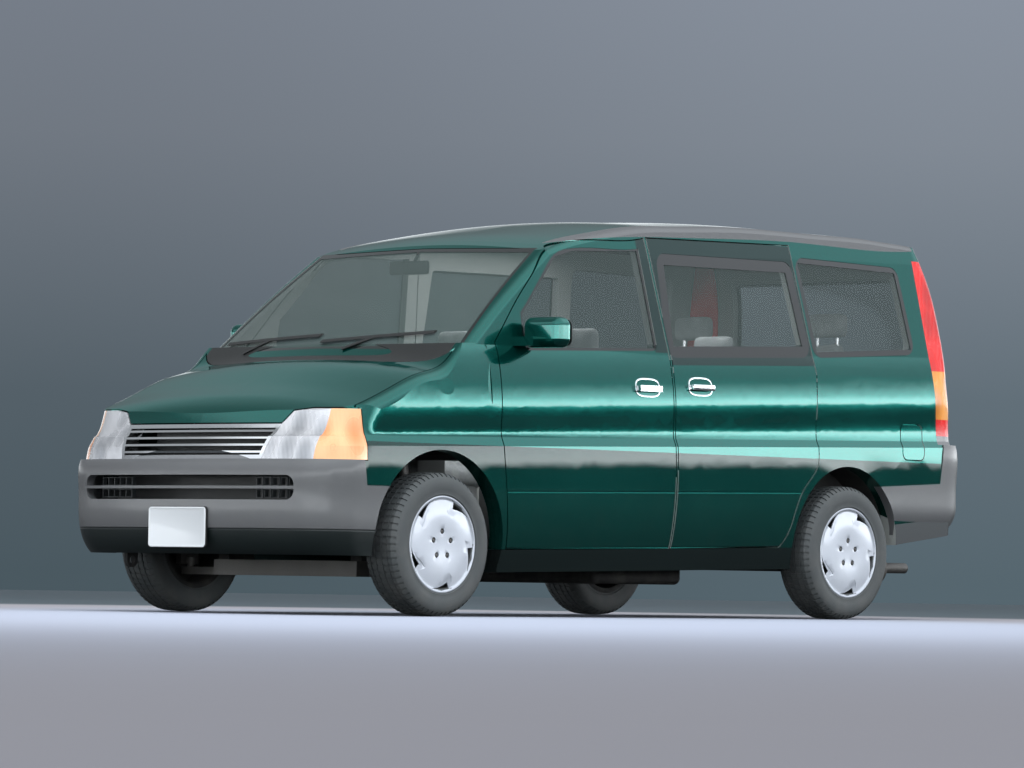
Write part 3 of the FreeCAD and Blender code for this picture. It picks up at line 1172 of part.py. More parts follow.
def make_cabin():
    low = FLOOR_SHARES[0] * HEIGHT + S["floor_thickness"]
    high = REAR_FLOOR_Z + S["floor_thickness"]
    spread = S["seat_width"] * 0.74
    rows = [share * LENGTH for share in (-0.1350, 0.0620, 0.2450)]
    left = seat("seat_left", spread, rows[0], low, S["seat_width"], (0,))
    joined("front_seats", left + seat("seat_right", -spread, rows[0], low, S["seat_width"], (0,)))
    posts = (-S["bench_width"] / 3, S["bench_width"] / 3)
    middle = seat("bench_mid", 0, rows[1], low, S["bench_width"], posts)
    joined("benches", middle + seat("bench_back", 0, rows[2], high, S["bench_width"] * 0.84, posts))
    dash_y = FIREWALL_SHARE * LENGTH + S["firewall_thickness"]
    dash_z = DASH_TOP_SHARE * HEIGHT - S["dash_height"]
    dash = block("dash_solid", -S["dash_width"] / 2, dash_y, dash_z, S["dash_width"], S["dash_depth"], S["dash_height"],
                 S["dash_round"])
    return dash


DASH_TOP_SHARE = 0.6130
COLUMN_SHARES = (-0.4366, -0.1520, 0.5350)


def make_steering(dash):
    """Steering wheel on its raked column, on the right-hand side."""
    x, y, z = COLUMN_SHARES[0] * HALF, COLUMN_SHARES[1] * LENGTH, COLUMN_SHARES[2] * HEIGHT
    rake = math.radians(90 - S["column_rake"])
    axis = V(0, math.sin(rake), math.cos(rake))
    centre = V(x, y, z)
    section = S["wheel_rim_section"]
    ring = Part.makeTorus(S["wheel_rim_radius"], section, centre, axis)
    hub = Part.makeCylinder(S["wheel_hub_radius"], S["wheel_hub_depth"], centre - axis * S["wheel_hub_depth"], axis)
    across = axis.cross(V(1, 0, 0))
    spokes = []
    for way in (V(1, 0, 0), V(-1, 0, 0), across * -1):
        start = centre - axis * (S["wheel_hub_depth"] / 2)
        spokes.append(Part.makeCylinder(section * 0.7, S["wheel_rim_radius"], start, way))
    shaft = Part.makeCylinder(S["column_radius"], S["wheel_hub_depth"], centre - axis * (2 * S["wheel_hub_depth"]), axis)
    keep("steering_wheel", ring.fuse([hub, shaft] + spokes))
    column = Part.makeCylinder(S["column_radius"] * 2, S["column_length"],
                               centre - axis * (2 * S["wheel_hub_depth"] + S["seat_touch"] + S["column_length"]), axis)
    stem = DOC.addObject("Part::Feature", "steering_column")
    stem.Shape = column
    joined("dashboard", [dash, stem])


def main():
    body = Body()
    body.take([side_prism(UNDER_SHARES, 0, 0, -OVER)])
    make_roof(body)
    make_screen(body)
    make_rear(body)
    make_front(body)
    make_bumpers(body)
    left, right = make_side(body)
    keep("body_shell", left.fuse(mirrored(right)))
    make_wheels()
    make_front_axle()
    make_rear_axle()
    make_fittings(body)
    make_floor()
    make_under()
    make_steering(make_cabin())
    DOC.recompute()
    for item in DOC.Objects:
        if "Invalid" in item.State or "Error" in item.State:
            raise RuntimeError("object failed: " + item.Name)
    os.makedirs("parts", exist_ok=True)
    for name, piece in PIECES.items():
        if piece.Shape.isNull() or not piece.Shape.isValid():
            raise RuntimeError("shape failed: " + name)
        piece.Shape.exportStep("parts/%s.step" % name)


main()
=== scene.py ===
"""Dresses the minivan's frame: paint, glass, lamps, tyres, wheel covers, trim, cabin and seats."""

import math

import bpy
from mathutils import Matrix, Vector


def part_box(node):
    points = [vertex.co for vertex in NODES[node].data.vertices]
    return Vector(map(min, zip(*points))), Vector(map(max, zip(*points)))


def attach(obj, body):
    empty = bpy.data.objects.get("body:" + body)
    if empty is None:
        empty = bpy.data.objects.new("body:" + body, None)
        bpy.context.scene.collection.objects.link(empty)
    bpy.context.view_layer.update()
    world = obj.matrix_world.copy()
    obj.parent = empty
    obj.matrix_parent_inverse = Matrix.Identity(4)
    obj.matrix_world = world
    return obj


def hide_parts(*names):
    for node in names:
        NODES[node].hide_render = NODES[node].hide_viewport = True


bl_info = {
    "name": "Minivan dressing",
    "version": (1, 0, 0),
    "blender": (4, 5, 0),
    "location": "3D View > Sidebar > Minivan",
    "description": "Paints the minivan's frame and adds its tyres, wheel covers, trim and seats",
    "category": "Object",
}

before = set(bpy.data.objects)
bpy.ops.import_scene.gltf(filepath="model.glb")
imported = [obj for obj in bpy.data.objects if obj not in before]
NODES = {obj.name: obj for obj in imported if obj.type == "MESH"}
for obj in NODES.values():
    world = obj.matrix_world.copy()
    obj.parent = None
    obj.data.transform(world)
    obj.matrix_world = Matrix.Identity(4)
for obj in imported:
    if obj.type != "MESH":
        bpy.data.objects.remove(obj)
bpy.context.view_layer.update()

# Lengths are in metres throughout. X points to the minivan's left, Y to its rear and Z up.

# Where the wheels turn: how far out, how far up, and where the axles lie.
WHEEL_OUT, WHEEL_UP = 0.741, 0.31
FRONT_AXLE, REAR_AXLE = -1.5225, 1.2775
WHEELS = {
    "front_left": Vector((WHEEL_OUT, FRONT_AXLE, WHEEL_UP)),
    "front_right": Vector((-WHEEL_OUT, FRONT_AXLE, WHEEL_UP)),
    "rear_left": Vector((WHEEL_OUT, REAR_AXLE, WHEEL_UP)),
    "rear_right": Vector((-WHEEL_OUT, REAR_AXLE, WHEEL_UP)),
}

MIRROR_X = Matrix.Scale(-1, 4, (1, 0, 0))


# Shader nodes


def tone(colour, factor=1.0):
    """A colour made darker or lighter by a factor, with full alpha."""
    return (*(part * factor for part in colour), 1.0)


class Net:
    """Adds shader nodes to a tree and joins them."""

    def __init__(self, tree):
        self.tree = tree

    def put(self, target, value):
        if isinstance(value, bpy.types.NodeSocket):
            self.tree.links.new(value, target)
        else:
            target.default_value = value

    def add(self, kind, *values, **settings):
        node = self.tree.nodes.new(kind)
        for name, value in settings.items():
            setattr(node, name, value)
        for target, value in zip(node.inputs, values):
            self.put(target, value)
        return node

    def math(self, operation, *values, clamp=False):
        return self.add("ShaderNodeMath", *values, operation=operation, use_clamp=clamp).outputs[0]

    def plus(self, first, second):
        return self.math("ADD", first, second)

    def minus(self, first, second):
        return self.math("SUBTRACT", first, second)

    def times(self, first, second):
        return self.math("MULTIPLY", first, second)

    def most(self, first, second):
        return self.math("MAXIMUM", first, second)

    def least(self, first, second):
        return self.math("MINIMUM", first, second)

    def below(self, value, limit):
        return self.math("LESS_THAN", value, limit)

    def above(self, value, limit):
        return self.math("GREATER_THAN", value, limit)

    def vector(self, operation, *values):
        node = self.add("ShaderNodeVectorMath", *values, operation=operation)
        single = operation in ("DOT_PRODUCT", "LENGTH")
        return node.outputs["Value"] if single else node.outputs[0]

    def scaled(self, vector, factor):
        node = self.add("ShaderNodeVectorMath", vector, operation="SCALE")
        self.put(node.inputs["Scale"], factor)
        return node.outputs[0]

    def blend(self, share, first, second):
        """Two colours mixed. For colours, a Mix node uses inputs 0, 6 and 7 and output 2."""
        node = self.add("ShaderNodeMix", data_type="RGBA")
        for index, value in ((0, share), (6, first), (7, second)):
            self.put(node.inputs[index], value)
        return node.outputs[2]

    def between(self, value, low, high, at_low=0.0, at_high=1.0, form="SMOOTHSTEP"):
        """Goes from at_low to at_high as value goes from low to high."""
        return self.add("ShaderNodeMapRange", value, low, high, at_low, at_high,
                        interpolation_type=form).outputs[0]

    def spread(self, share, low, high):
        """A straight line from low to high as share goes from 0 to 1."""
        return self.between(share, 0.0, 1.0, low, high, "LINEAR")

    def band(self, value, middle, wide):
        """1 at a middle value, and 0 from a distance on."""
        away = self.math("ABSOLUTE", self.minus(value, middle))
        return self.between(away, 0.0, wide, 1.0, 0.0)

    def place(self):
        return self.add("ShaderNodeTexCoord").outputs["Object"]

    def axes(self, vector):
        return self.add("ShaderNodeSeparateXYZ", vector).outputs

    def noise(self, vector, scale, detail=3.0):
        node = self.add("ShaderNodeTexNoise")
        for label, value in (("Vector", vector), ("Scale", scale), ("Detail", detail)):
            self.put(node.inputs[label], value)
        return node.outputs[0]

    def cells(self, vector, scale):
        node = self.add("ShaderNodeTexVoronoi")
        self.put(node.inputs["Vector"], vector)
        self.put(node.inputs["Scale"], scale)
        return node.outputs["Distance"]

    def ramp(self, value, stops):
        node = self.add("ShaderNodeValToRGB", value)
        row = node.color_ramp.elements
        while len(row) < len(stops):
            row.new(0.5)
        for element, (place, colour) in zip(row, stops):
            element.position = place
            element.color = tone(colour)
        return node.outputs[0]


def effect(name, inputs, outputs, build):
    """A shared node group, built once: inputs are names and defaults, outputs names and kinds."""
    group = bpy.data.node_groups.get(name)
    if group is not None:
        return group
    group = bpy.data.node_groups.new(name, "ShaderNodeTree")
    sockets = group.interface
    for label, value in inputs.items():
        socket = sockets.new_socket(label, in_out="INPUT", socket_type="NodeSocketFloat")
        socket.default_value = value
    for label, kind in outputs.items():
        sockets.new_socket(label, in_out="OUTPUT", socket_type="NodeSocket" + kind)
    entry = group.nodes.new("NodeGroupInput")
    leave = group.nodes.new("NodeGroupOutput")
    for label, socket in build(Net(group), entry.outputs).items():
        group.links.new(socket, leave.inputs[label])
    return group


def grain_effect():
    """Fine cells and soft clouds, as on moulded plastic and rubber."""
    def build(net, given):
        where = net.place()
        cells = net.cells(where, given["Scale"])
        clouds = net.noise(where, 4.0)
        return {"Tone": net.plus(net.times(cells, 0.35), net.times(clouds, 0.65)), "Height": cells}
    return effect("Grain", {"Scale": 700.0}, {"Tone": "Float", "Height": "Float"}, build)


def flake_effect():
    """Metal flakes and a faint waviness, as in metallic paint."""
    def build(net, given):
        where = net.place()
        flakes = net.noise(where, given["Scale"], 1.0)
        return {"Flakes": net.between(flakes, 0.35, 0.75), "Clouds": net.noise(where, 2.2),
                "Height": net.noise(where, 38.0, 1.0)}
    outputs = {"Flakes": "Float", "Clouds": "Float", "Height": "Float"}
    return effect("Paint flakes", {"Scale": 900.0}, outputs, build)


def dust_effect():
    """Road dust that thins out upwards."""
    def build(net, given):
        where = net.place()
        fall = net.between(net.axes(where)[2], 0.05, given["Top"], 1.0, 0.0, "LINEAR")
        spots = net.between(net.noise(where, 14.0, 6.0), 0.35, 0.8)
        mask = net.math("MULTIPLY", net.times(fall, spots), given["Amount"], clamp=True)
        return {"Mask": mask}
    return effect("Road dust", {"Top": 0.7, "Amount": 0.4}, {"Mask": "Float"}, build)


# The line that the cabin's lining faces: its front and rear end, and its height.
CABIN_FRONT, CABIN_REAR, CABIN_MIDDLE = -0.75, 1.35, 1.08


def inner_effect():
    """1 on faces that look into the cabin, 0 on outer ones."""
    def build(net, given):
        along = net.axes(net.place())[1]
        along = net.most(net.least(along, CABIN_REAR), CABIN_FRONT)
        core = net.add("ShaderNodeCombineXYZ", 0.0, along, CABIN_MIDDLE).outputs[0]
        away = net.vector("SUBTRACT", net.place(), core)
        facing = net.add("ShaderNodeNewGeometry").outputs["True Normal"]
        return {"Mask": net.below(net.vector("DOT_PRODUCT", away, facing), 0.0)}
    return effect("Cabin side", {}, {"Mask": "Float"}, build)


def weave_effect():
    """Crossed threads with a slub, for seat cloth. The threads lean a little along the seat."""
    def build(net, given):
        where = net.place()
        x, y, z = net.axes(where)
        across, upward = (
            net.math("SINE", net.times(net.plus(run, net.times(y, lean)), given["Threads"]))
            for run, lean in ((x, 0.35), (z, 0.8)))
        slub = net.noise(where, 90.0, 4.0)
        return {"Height": net.plus(net.times(across, upward), slub), "Tone": slub,
                "Pattern": net.between(net.cells(where, 16.0), 0.2, 0.6)}
    outputs = {"Height": "Float", "Tone": "Float", "Pattern": "Float"}
    return effect("Woven cloth", {"Threads": 1500.0}, outputs, build)


def rib_effect():
    """Upright ribs moulded in a lamp lens, and soft facets behind them."""
    def build(net, given):
        x, y, z = net.axes(net.place())
        run = net.plus(x, net.times(y, 0.9))
        ribs = net.math("ABSOLUTE", net.math("SINE", net.times(run, given["Ribs"])))
        facets = net.cells(net.vector("MULTIPLY", net.place(), (1.0, 1.0, 0.45)), 11.0)
        return {"Height": ribs, "Facets": net.between(facets, 0.1, 0.75)}
    return effect("Lamp ribs", {"Ribs": 420.0}, {"Height": "Float", "Facets": "Float"}, build)


# The two lines pressed into the doors: height at the middle of the car, and rise to the rear.
DOOR_LINES = ((0.5651, 0.0186), (0.3182, 0.0168))
DOOR_LINE_WIDE = 0.0045


def groove_effect():
    """Two pressed lines along the doors, as a mask. Each rises slightly to the rear."""
    def build(net, given):
        x, y, z = net.axes(net.place())
        masks = [net.band(z, net.plus(net.times(y, rise), level), DOOR_LINE_WIDE)
                 for level, rise in DOOR_LINES]
        return {"Mask": net.most(*masks)}
    return effect("Door lines", {}, {"Mask": "Float"}, build)


# How far a low panel's shading normal leans down at least.
LOWEST_LEAN = -0.05


def upright_effect():
    """The surface's normal, which below the doors' ledge leans down a little at least.

    So the low panels mirror the dark floor, as pressed steel with its slight bow does.
    """
    def build(net, given):
        height = net.axes(net.place())[2]
        normal = net.add("ShaderNodeNewGeometry").outputs["Normal"]
        x, y, z = net.axes(normal)
        leaning = net.add("ShaderNodeCombineXYZ", x, y, net.least(z, LOWEST_LEAN)).outputs[0]
        low = net.below(height, given["Level"])
        mixed = net.vector("ADD", net.scaled(leaning, low),
                           net.scaled(normal, net.minus(1.0, low)))
        return {"Normal": net.vector("NORMALIZE", mixed)}
    return effect("Upright low panels", {"Level": 0.742}, {"Normal": "Vector"}, build)


class Finish(Net):
    """A material and its Principled shader. Constants are set on the shader's own sockets."""

    def __init__(self, name, base, **values):
        self.material = bpy.data.materials.new(name)
        self.material.use_nodes = True
        super().__init__(self.material.node_tree)
        self.shader = self.tree.nodes["Principled BSDF"]
        self.to("Base Color", tone(base))
        for label, value in values.items():
            self.to(label.replace("_", " "), value)

    def to(self, label, value):
        self.put(self.shader.inputs[label], value)

    def source(self, label):
        """What feeds one of the shader's sockets."""
        return self.shader.inputs[label].links[0].from_socket

    def use(self, group, **values):
        node = self.add("ShaderNodeGroup", node_tree=group)
        for label, value in values.items():
            node.inputs[label].default_value = value
        return node.outputs

    def bump(self, height, distance, normal=None):
        node = self.add("ShaderNodeBump")
        self.put(node.inputs["Strength"], 1.0)
        self.put(node.inputs["Distance"], distance)
        self.put(node.inputs["Height"], height)
        if normal is not None:
            self.put(node.inputs["Normal"], normal)
        return node.outputs[0]


FINISHES = {}


# Finishes


PAINT_SHEEN = (0.40, 0.95, 0.88, 1.0)
PAINT_COAT, FILM_COAT = 0.7, 0.2
PAINT_DUST, PLAIN_DUST = (0.16, 0.15, 0.13), (0.17, 0.16, 0.145)


def make_paint(name, settings, lines=False, film=(), trim=False, film_colour=None):
    """Metallic paint.

    lines presses the doors' two lines into it, film holds the zones under black film or another
    colour, and trim turns the faces that look into the cabin into its lining.
    """
    net = Finish(name, settings.paint, Metallic=settings.metal, Coat_Weight=PAINT_COAT,
                 Coat_Roughness=0.03)
    net.to("Specular Tint", PAINT_SHEEN)
    flakes = net.use(flake_effect())
    colour = net.blend(flakes["Flakes"], tone(settings.paint, 0.82), tone(settings.paint, 1.3))
    rough = net.spread(flakes["Clouds"], 0.13, 0.19)
    normal = net.bump(flakes["Height"], 0.00006, net.use(upright_effect())["Normal"])
    dust = net.use(dust_effect(), Top=0.75, Amount=0.10)["Mask"]
    colour = net.blend(dust, colour, tone(PAINT_DUST))
    rough = net.plus(rough, net.times(dust, 0.4))
    if lines:
        mask = net.use(groove_effect())["Mask"]
        normal = net.bump(net.times(mask, -1.0), 0.0035, normal)
    coat, metal = PAINT_COAT, settings.metal
    if film:
        black = film[0](net)
        for zone in film[1:]:
            black = net.most(black, zone(net))
        colour = net.blend(black, colour, tone(film_colour or settings.film))
        bare = net.minus(1.0, black)
        coat = net.most(net.times(bare, PAINT_COAT), FILM_COAT)
        metal = net.times(bare, settings.metal)
    if trim:
        inner = net.use(inner_effect())["Mask"]
        grain = net.use(grain_effect(), Scale=420.0)
        lining = net.blend(grain["Tone"], tone(settings.cabin, 0.8), tone(settings.cabin))
        colour = net.blend(inner, colour, lining)
        rough = net.most(rough, net.times(inner, 0.75))
        outer = net.minus(1.0, inner)
        coat, metal = net.times(outer, coat), net.times(outer, metal)
    for label, value in (("Base Color", colour), ("Roughness", rough), ("Normal", normal),
                         ("Coat Weight", coat), ("Metallic", metal)):
        net.to(label, value)
    FINISHES[name] = net.material


def below_line(y, z, rise, from_y=-9.0):
    """A zone below a slanted line seen from the side, from one place on to the rear."""
    def zone(net):
        axes = net.axes(net.place())
        line = net.plus(net.times(axes[1], rise), z - y * rise)
        return net.times(net.below(axes[2], line), net.above(axes[1], from_y))
    return zone


def behind_line(y0, z0, y1, z1):
    """A zone above the belt and behind a leaning line, as the black film on the pillars is."""
    def zone(net):
        axes = net.axes(net.place())
        lean = (y1 - y0) / (z1 - z0)
        line = net.plus(net.times(net.minus(axes[2], z0), lean), y0)
        return net.times(net.above(axes[1], line), net.above(axes[2], z0))
    return zone


def polygon_zone(corners):
    """A zone inside a convex outline seen from the side; corners are (y, z)."""
    def zone(net):
        return net.above(edge_distance(net, corners), 0.0)
    return zone


def edge_distance(net, corners, plane="YZ"):
    """How far inside a convex outline a point lies: the least distance to its edges."""
    pairs = list(zip(corners, corners[1:] + corners[:1]))
    area = sum(a[0] * b[1] - b[0] * a[1] for a, b in pairs)
    way = 1.0 if area > 0 else -1.0
    where = net.place()
    nearest = None
    for (a0, a1), (b0, b1) in pairs:
        length = math.hypot(b0 - a0, b1 - a1)
        n0, n1 = -(b1 - a1) / length * way, (b0 - a0) / length * way
        normal = (0.0, n0, n1) if plane == "YZ" else (n0, 0.0, n1)
        reach = net.minus(net.vector("DOT_PRODUCT", where, normal), n0 * a0 + n1 * a1)
        nearest = reach if nearest is None else net.least(nearest, reach)
    return nearest


def make_plain(name, base, roughness, grain, depth, spread, metallic=0.0, dust=0.0, **values):
    """A moulded or cast surface: grain in its colour, gloss and relief, with dust low down."""
    net = Finish(name, base, Metallic=metallic, **values)
    grains = net.use(grain_effect(), Scale=grain)
    colour = net.blend(grains["Tone"], tone(base, 1 - spread), tone(base, 1 + spread))
    rough = net.plus(net.times(grains["Tone"], 0.16), roughness - 0.08)
    if dust:
        mask = net.use(dust_effect(), Top=1.0, Amount=dust)["Mask"]
        colour = net.blend(mask, colour, tone(PLAIN_DUST))
        rough = net.plus(rough, net.times(mask, 0.3))
    net.to("Base Color", colour)
    net.to("Roughness", rough)
    net.to("Normal", net.bump(grains["Height"], depth))
    FINISHES[name] = net.material
    return net


# The front bumper's split line, and the near black colour of the bumper along it and below it in
# front.
LIP_LEVEL, LIP_GROOVE = 0.362, 0.005
LIP_DARK = (0.006, 0.010, 0.010)


def make_bumper(name, base):
    """Grey bumper whose colour turns near black along its split line and below it in front."""
    net = make_plain(name, base, 0.38, 900.0, 0.00006, 0.10, dust=0.10, Coat_Weight=0.35,
                     Coat_Roughness=0.15)
    x, y, z = net.axes(net.place())
    front = net.below(y, 0.0)
    lip = net.times(net.below(z, LIP_LEVEL), front)
    groove = net.times(net.band(z, LIP_LEVEL, LIP_GROOVE), front)
    # Near black along the split line and below it in front.
    net.to("Base Color",
           net.blend(net.most(lip, groove), net.source("Base Color"), tone(LIP_DARK)))
    net.to("Normal", net.bump(net.times(groove, -1.0), 0.004, net.source("Normal")))


CLOTH_PATTERN = (0.13, 0.14, 0.15)


def make_cloth(name, base):
    """Woven seat cloth with a faint darker pattern."""
    net = Finish(name, base, Roughness=0.92, Sheen_Weight=0.25, Sheen_Roughness=0.5)
    weave = net.use(weave_effect())
    colour = net.blend(weave["Tone"], tone(base, 0.7), tone(base, 1.15))
    net.to("Base Color",
           net.blend(net.times(weave["Pattern"], 0.35), colour, tone(CLOTH_PATTERN)))
    net.to("Normal", net.bump(weave["Height"], 0.0005))
    FINISHES[name] = net.material


def make_glass(name, settings, outlines, plane="YZ"):
    """Tinted panes: each outline comes with the width of the black border fired onto it."""
    net = Finish(name, settings.glass, Roughness=0.02, Coat_Weight=0.6, Coat_Roughness=0.01,
                 IOR=1.5)
    film = net.noise(net.place(), 6.0)
    facing = net.add("ShaderNodeLayerWeight", 0.35).outputs["Fresnel"]
    clear = net.spread(facing, settings.glass_body, 0.6)
    border = None
    for corners, wide in outlines:
        reach = edge_distance(net, corners, plane)
        edge = net.between(reach, wide - 0.0008, wide + 0.0008, 1.0, 0.0)
        border = edge if border is None else net.times(border, edge)
    colour = net.blend(film, tone(settings.glass), tone(settings.glass, 1.15))
    rough = net.spread(film, 0.01, 0.045)
    net.to("Base Color", net.blend(border, colour, tone(settings.film)))
    net.to("Alpha", net.most(clear, border))
    net.to("Roughness", net.most(rough, net.times(border, 0.12)))
    FINISHES[name] = net.material


def make_lens(name, base, deep, metallic):
    """A lamp seen through its ribbed lens: bright facets under a clear coat."""
    net = Finish(name, base, Metallic=metallic, Coat_Weight=1.0, Coat_Roughness=0.02)
    ribs = net.use(rib_effect())
    net.to("Base Color", net.blend(ribs["Facets"], tone(deep), tone(base)))
    net.to("Roughness", net.plus(net.times(ribs["Facets"], 0.2), 0.12))
    net.to("Normal", net.bump(ribs["Height"], 0.0010, net.bump(ribs["Facets"], 0.003)))
    FINISHES[name] = net.material


# The tail lamps' colours, deep and light, and the heights at which they change.
TAIL_RED = ((0.50, 0.004, 0.003), (0.78, 0.008, 0.006))
TAIL_AMBER = ((0.55, 0.17, 0.02), (0.85, 0.33, 0.05))
TAIL_FOOT = (0.14, 0.14, 0.145)
FOOT_TOP, AMBER_FOOT, AMBER_TOP = (0.872, 0.875), (0.950, 0.953), (1.179, 1.182)


def make_tail_lens(name):
    """Red above, amber in the middle and red below, with upright ribs, on a grey foot."""
    net = Finish(name, (0.45, 0.02, 0.015), Coat_Weight=0.15, Coat_Roughness=0.05)
    net.to("Specular IOR Level", 0.25)
    height = net.axes(net.place())[2]
    ribs = net.use(rib_effect(), Ribs=330.0)
    red, amber = (net.blend(ribs["Facets"], tone(deep), tone(light))
                  for deep, light in (TAIL_RED, TAIL_AMBER))
    middle = net.times(net.between(height, *AMBER_FOOT), net.between(height, *AMBER_TOP, 1.0, 0.0))
    foot = net.between(height, *FOOT_TOP, 1.0, 0.0)
    net.to("Base Color", net.blend(foot, net.blend(middle, red, amber), tone(TAIL_FOOT)))
    net.to("Roughness", net.plus(net.times(ribs["Facets"], 0.15), 0.15))
    net.to("Normal", net.bump(ribs["Height"], 0.0008))
    FINISHES[name] = net.material


# Mesh work


def only(piece):
    """Select one object alone and make it active."""
    bpy.ops.object.select_all(action="DESELECT")
    piece.select_set(True)
    bpy.context.view_layer.objects.active = piece


def call(piece, name):
    """Name a piece and its mesh."""
    piece.name = name
    piece.data.name = name
    return piece


def named(name):
    """Name the new primitive, and put its place, turn and size into its mesh."""
    piece = call(bpy.context.object, name)
    bpy.ops.object.transform_apply(location=True, rotation=True, scale=True)
    return piece


def edit(piece, kind, test=None):
    """Open a piece in edit mode, with the faces, edges or vertices selected that a test picks."""
    only(piece)
    mesh = piece.data
    if test is not None:
        for row in (mesh.vertices, mesh.edges, mesh.polygons):
            row.foreach_set("select", [False] * len(row))
        rows = {"FACE": mesh.polygons, "EDGE": mesh.edges, "VERT": mesh.vertices}[kind]
        for item in rows:
            item.select = bool(test(item))
    bpy.ops.object.mode_set(mode="EDIT")
    modes = tuple(kind == mode for mode in ("VERT", "EDGE", "FACE"))
    bpy.context.tool_settings.mesh_select_mode = modes
    if test is None:
        bpy.ops.mesh.select_all(action="SELECT")


def done():
    bpy.ops.object.mode_set(mode="OBJECT")


def extrude(move):
    bpy.ops.mesh.extrude_region_move(TRANSFORM_OT_translate={"value": move})


def applied(piece, kind, **settings):
    """Add a modifier with its settings and apply it."""
    only(piece)
    modifier = piece.modifiers.new(kind.lower(), kind)
    for name, value in settings.items():
        setattr(modifier, name, value)
    bpy.ops.object.modifier_apply(modifier=modifier.name)


def smooth(piece, degrees=40):
    only(piece)
    bpy.ops.object.shade_smooth_by_angle(angle=math.radians(degrees))


def chain(name, points):
    """A chain of edges through points: a plane merged to one vertex, extruded on."""
    points = [Vector(point) for point in points]
    bpy.ops.object.select_all(action="DESELECT")
    bpy.ops.mesh.primitive_plane_add(size=0.01, location=points[0])
    piece = named(name)
    edit(piece, "VERT")
    bpy.ops.mesh.merge(type="CENTER")
    for here, there in zip(points, points[1:]):
        extrude(there - here)
    done()
    return piece


def spun(name, profile, steps, closed=True):
    """A ring or disc: a profile of (along the axle, outwards), spun about the X axis."""
    points = [(along, 0.0, out) for along, out in profile]
    if closed:
        points.append(points[0])
    piece = chain(name, points)
    edit(piece, "VERT")
    bpy.ops.mesh.spin(steps=steps, angle=2 * math.pi, center=(0, 0, 0), axis=(1, 0, 0))
    done()
    edit(piece, "VERT")
    bpy.ops.mesh.remove_doubles(threshold=0.00002)
    bpy.ops.mesh.normals_make_consistent(inside=False)
    done()
    return piece


def block(name, low, high, bevel=0.0, segments=3):
    """A box between two corners, its edges rounded by a bevel."""
    low, high = Vector(low), Vector(high)
    bpy.ops.object.select_all(action="DESELECT")
    bpy.ops.mesh.primitive_cube_add(size=1, location=(low + high) / 2)
    bpy.context.object.scale = high - low
    piece = named(name)
    if bevel:
        edit(piece, "EDGE")
        bpy.ops.mesh.bevel(offset=bevel, segments=segments, affect="EDGES")
        done()
    return piece


def rounded_slab(name, low, high, corner):
    """A thin plate facing forward with round corners."""
    piece = block(name, low, high)

    def runs_back(edge):
        a, b = (piece.data.vertices[i].co for i in edge.vertices)
        return abs(a.x - b.x) < 1e-6 and abs(a.z - b.z) < 1e-6

    edit(piece, "EDGE", runs_back)
    bpy.ops.mesh.bevel(offset=corner, segments=8, affect="EDGES")
    done()
    return piece


def rod(name, radius, start, end, sides):
    """A round bar from one point to another."""
    start, end = Vector(start), Vector(end)
    run = end - start
    bpy.ops.object.select_all(action="DESELECT")
    bpy.ops.mesh.primitive_cylinder_add(vertices=sides, radius=radius, depth=run.length)
    turn = run.to_track_quat("Z", "Y").to_matrix().to_4x4()
    bpy.context.object.matrix_world = Matrix.Translation((start + end) / 2) @ turn
    return named(name)


def carve(piece, cutter, operation="DIFFERENCE"):
    """Cut a piece with another, or join the two; the other is used up."""
    applied(piece, "BOOLEAN", object=cutter, operation=operation, solver="EXACT")
    bpy.data.objects.remove(cutter)


def rounded(piece, width, segments, degrees):
    """Round the edges that are sharper than an angle."""
    applied(piece, "BEVEL", width=width, segments=segments, limit_method="ANGLE",
            angle_limit=math.radians(degrees))


def copied(piece, name, matrix):
    """A copy with its own mesh, moved or mirrored in the mesh."""
    twin = piece.copy()
    twin.data = piece.data.copy()
    bpy.context.scene.collection.objects.link(twin)
    twin.data.transform(matrix)
    if matrix.determinant() < 0:
        twin.data.flip_normals()
    return call(twin, name)


def united(name, pieces):
    """Join pieces into one object."""
    only(pieces[0])
    for piece in pieces[1:]:
        piece.select_set(True)
    if len(pieces) > 1:
        bpy.ops.object.join()
    return call(pieces[0], name)


def coat(piece, *names):
    """Give a piece its finishes."""
    piece.data.materials.clear()
    for name in names:
        piece.data.materials.append(FINISHES[name])
    return piece


def coat_faces(piece, index, test):
    """Give the faces that a test picks the finish with that index."""
    for face in piece.data.polygons:
        if test(face):
            face.material_index = index


def dress(node, name):
    """Give a CAD node a finish, in each of its material slots."""
    slots = NODES[node].data.materials
    if not slots:
        slots.append(FINISHES[name])
    for index in range(len(slots)):
        slots[index] = FINISHES[name]


def settle(piece, body, replaces=()):
    """Let a finished piece ride on its body."""
    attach(piece, body)
    if replaces:
        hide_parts(*replaces)


# Sizes and colours that a user would change


def colour_prop(label, words, default):
    return bpy.props.FloatVectorProperty(name=label, description=words, default=default, size=3,
                                         subtype="COLOR", min=0.0, max=1.0)


def length_prop(label, words, default):
    return bpy.props.FloatProperty(name=label, description=words, default=default, unit="LENGTH",
                                   subtype="DISTANCE", min=0.0)


def share_prop(label, words, default):
    return bpy.props.FloatProperty(name=label, description=words, default=default, min=0.0,
                                   max=1.0, subtype="FACTOR")


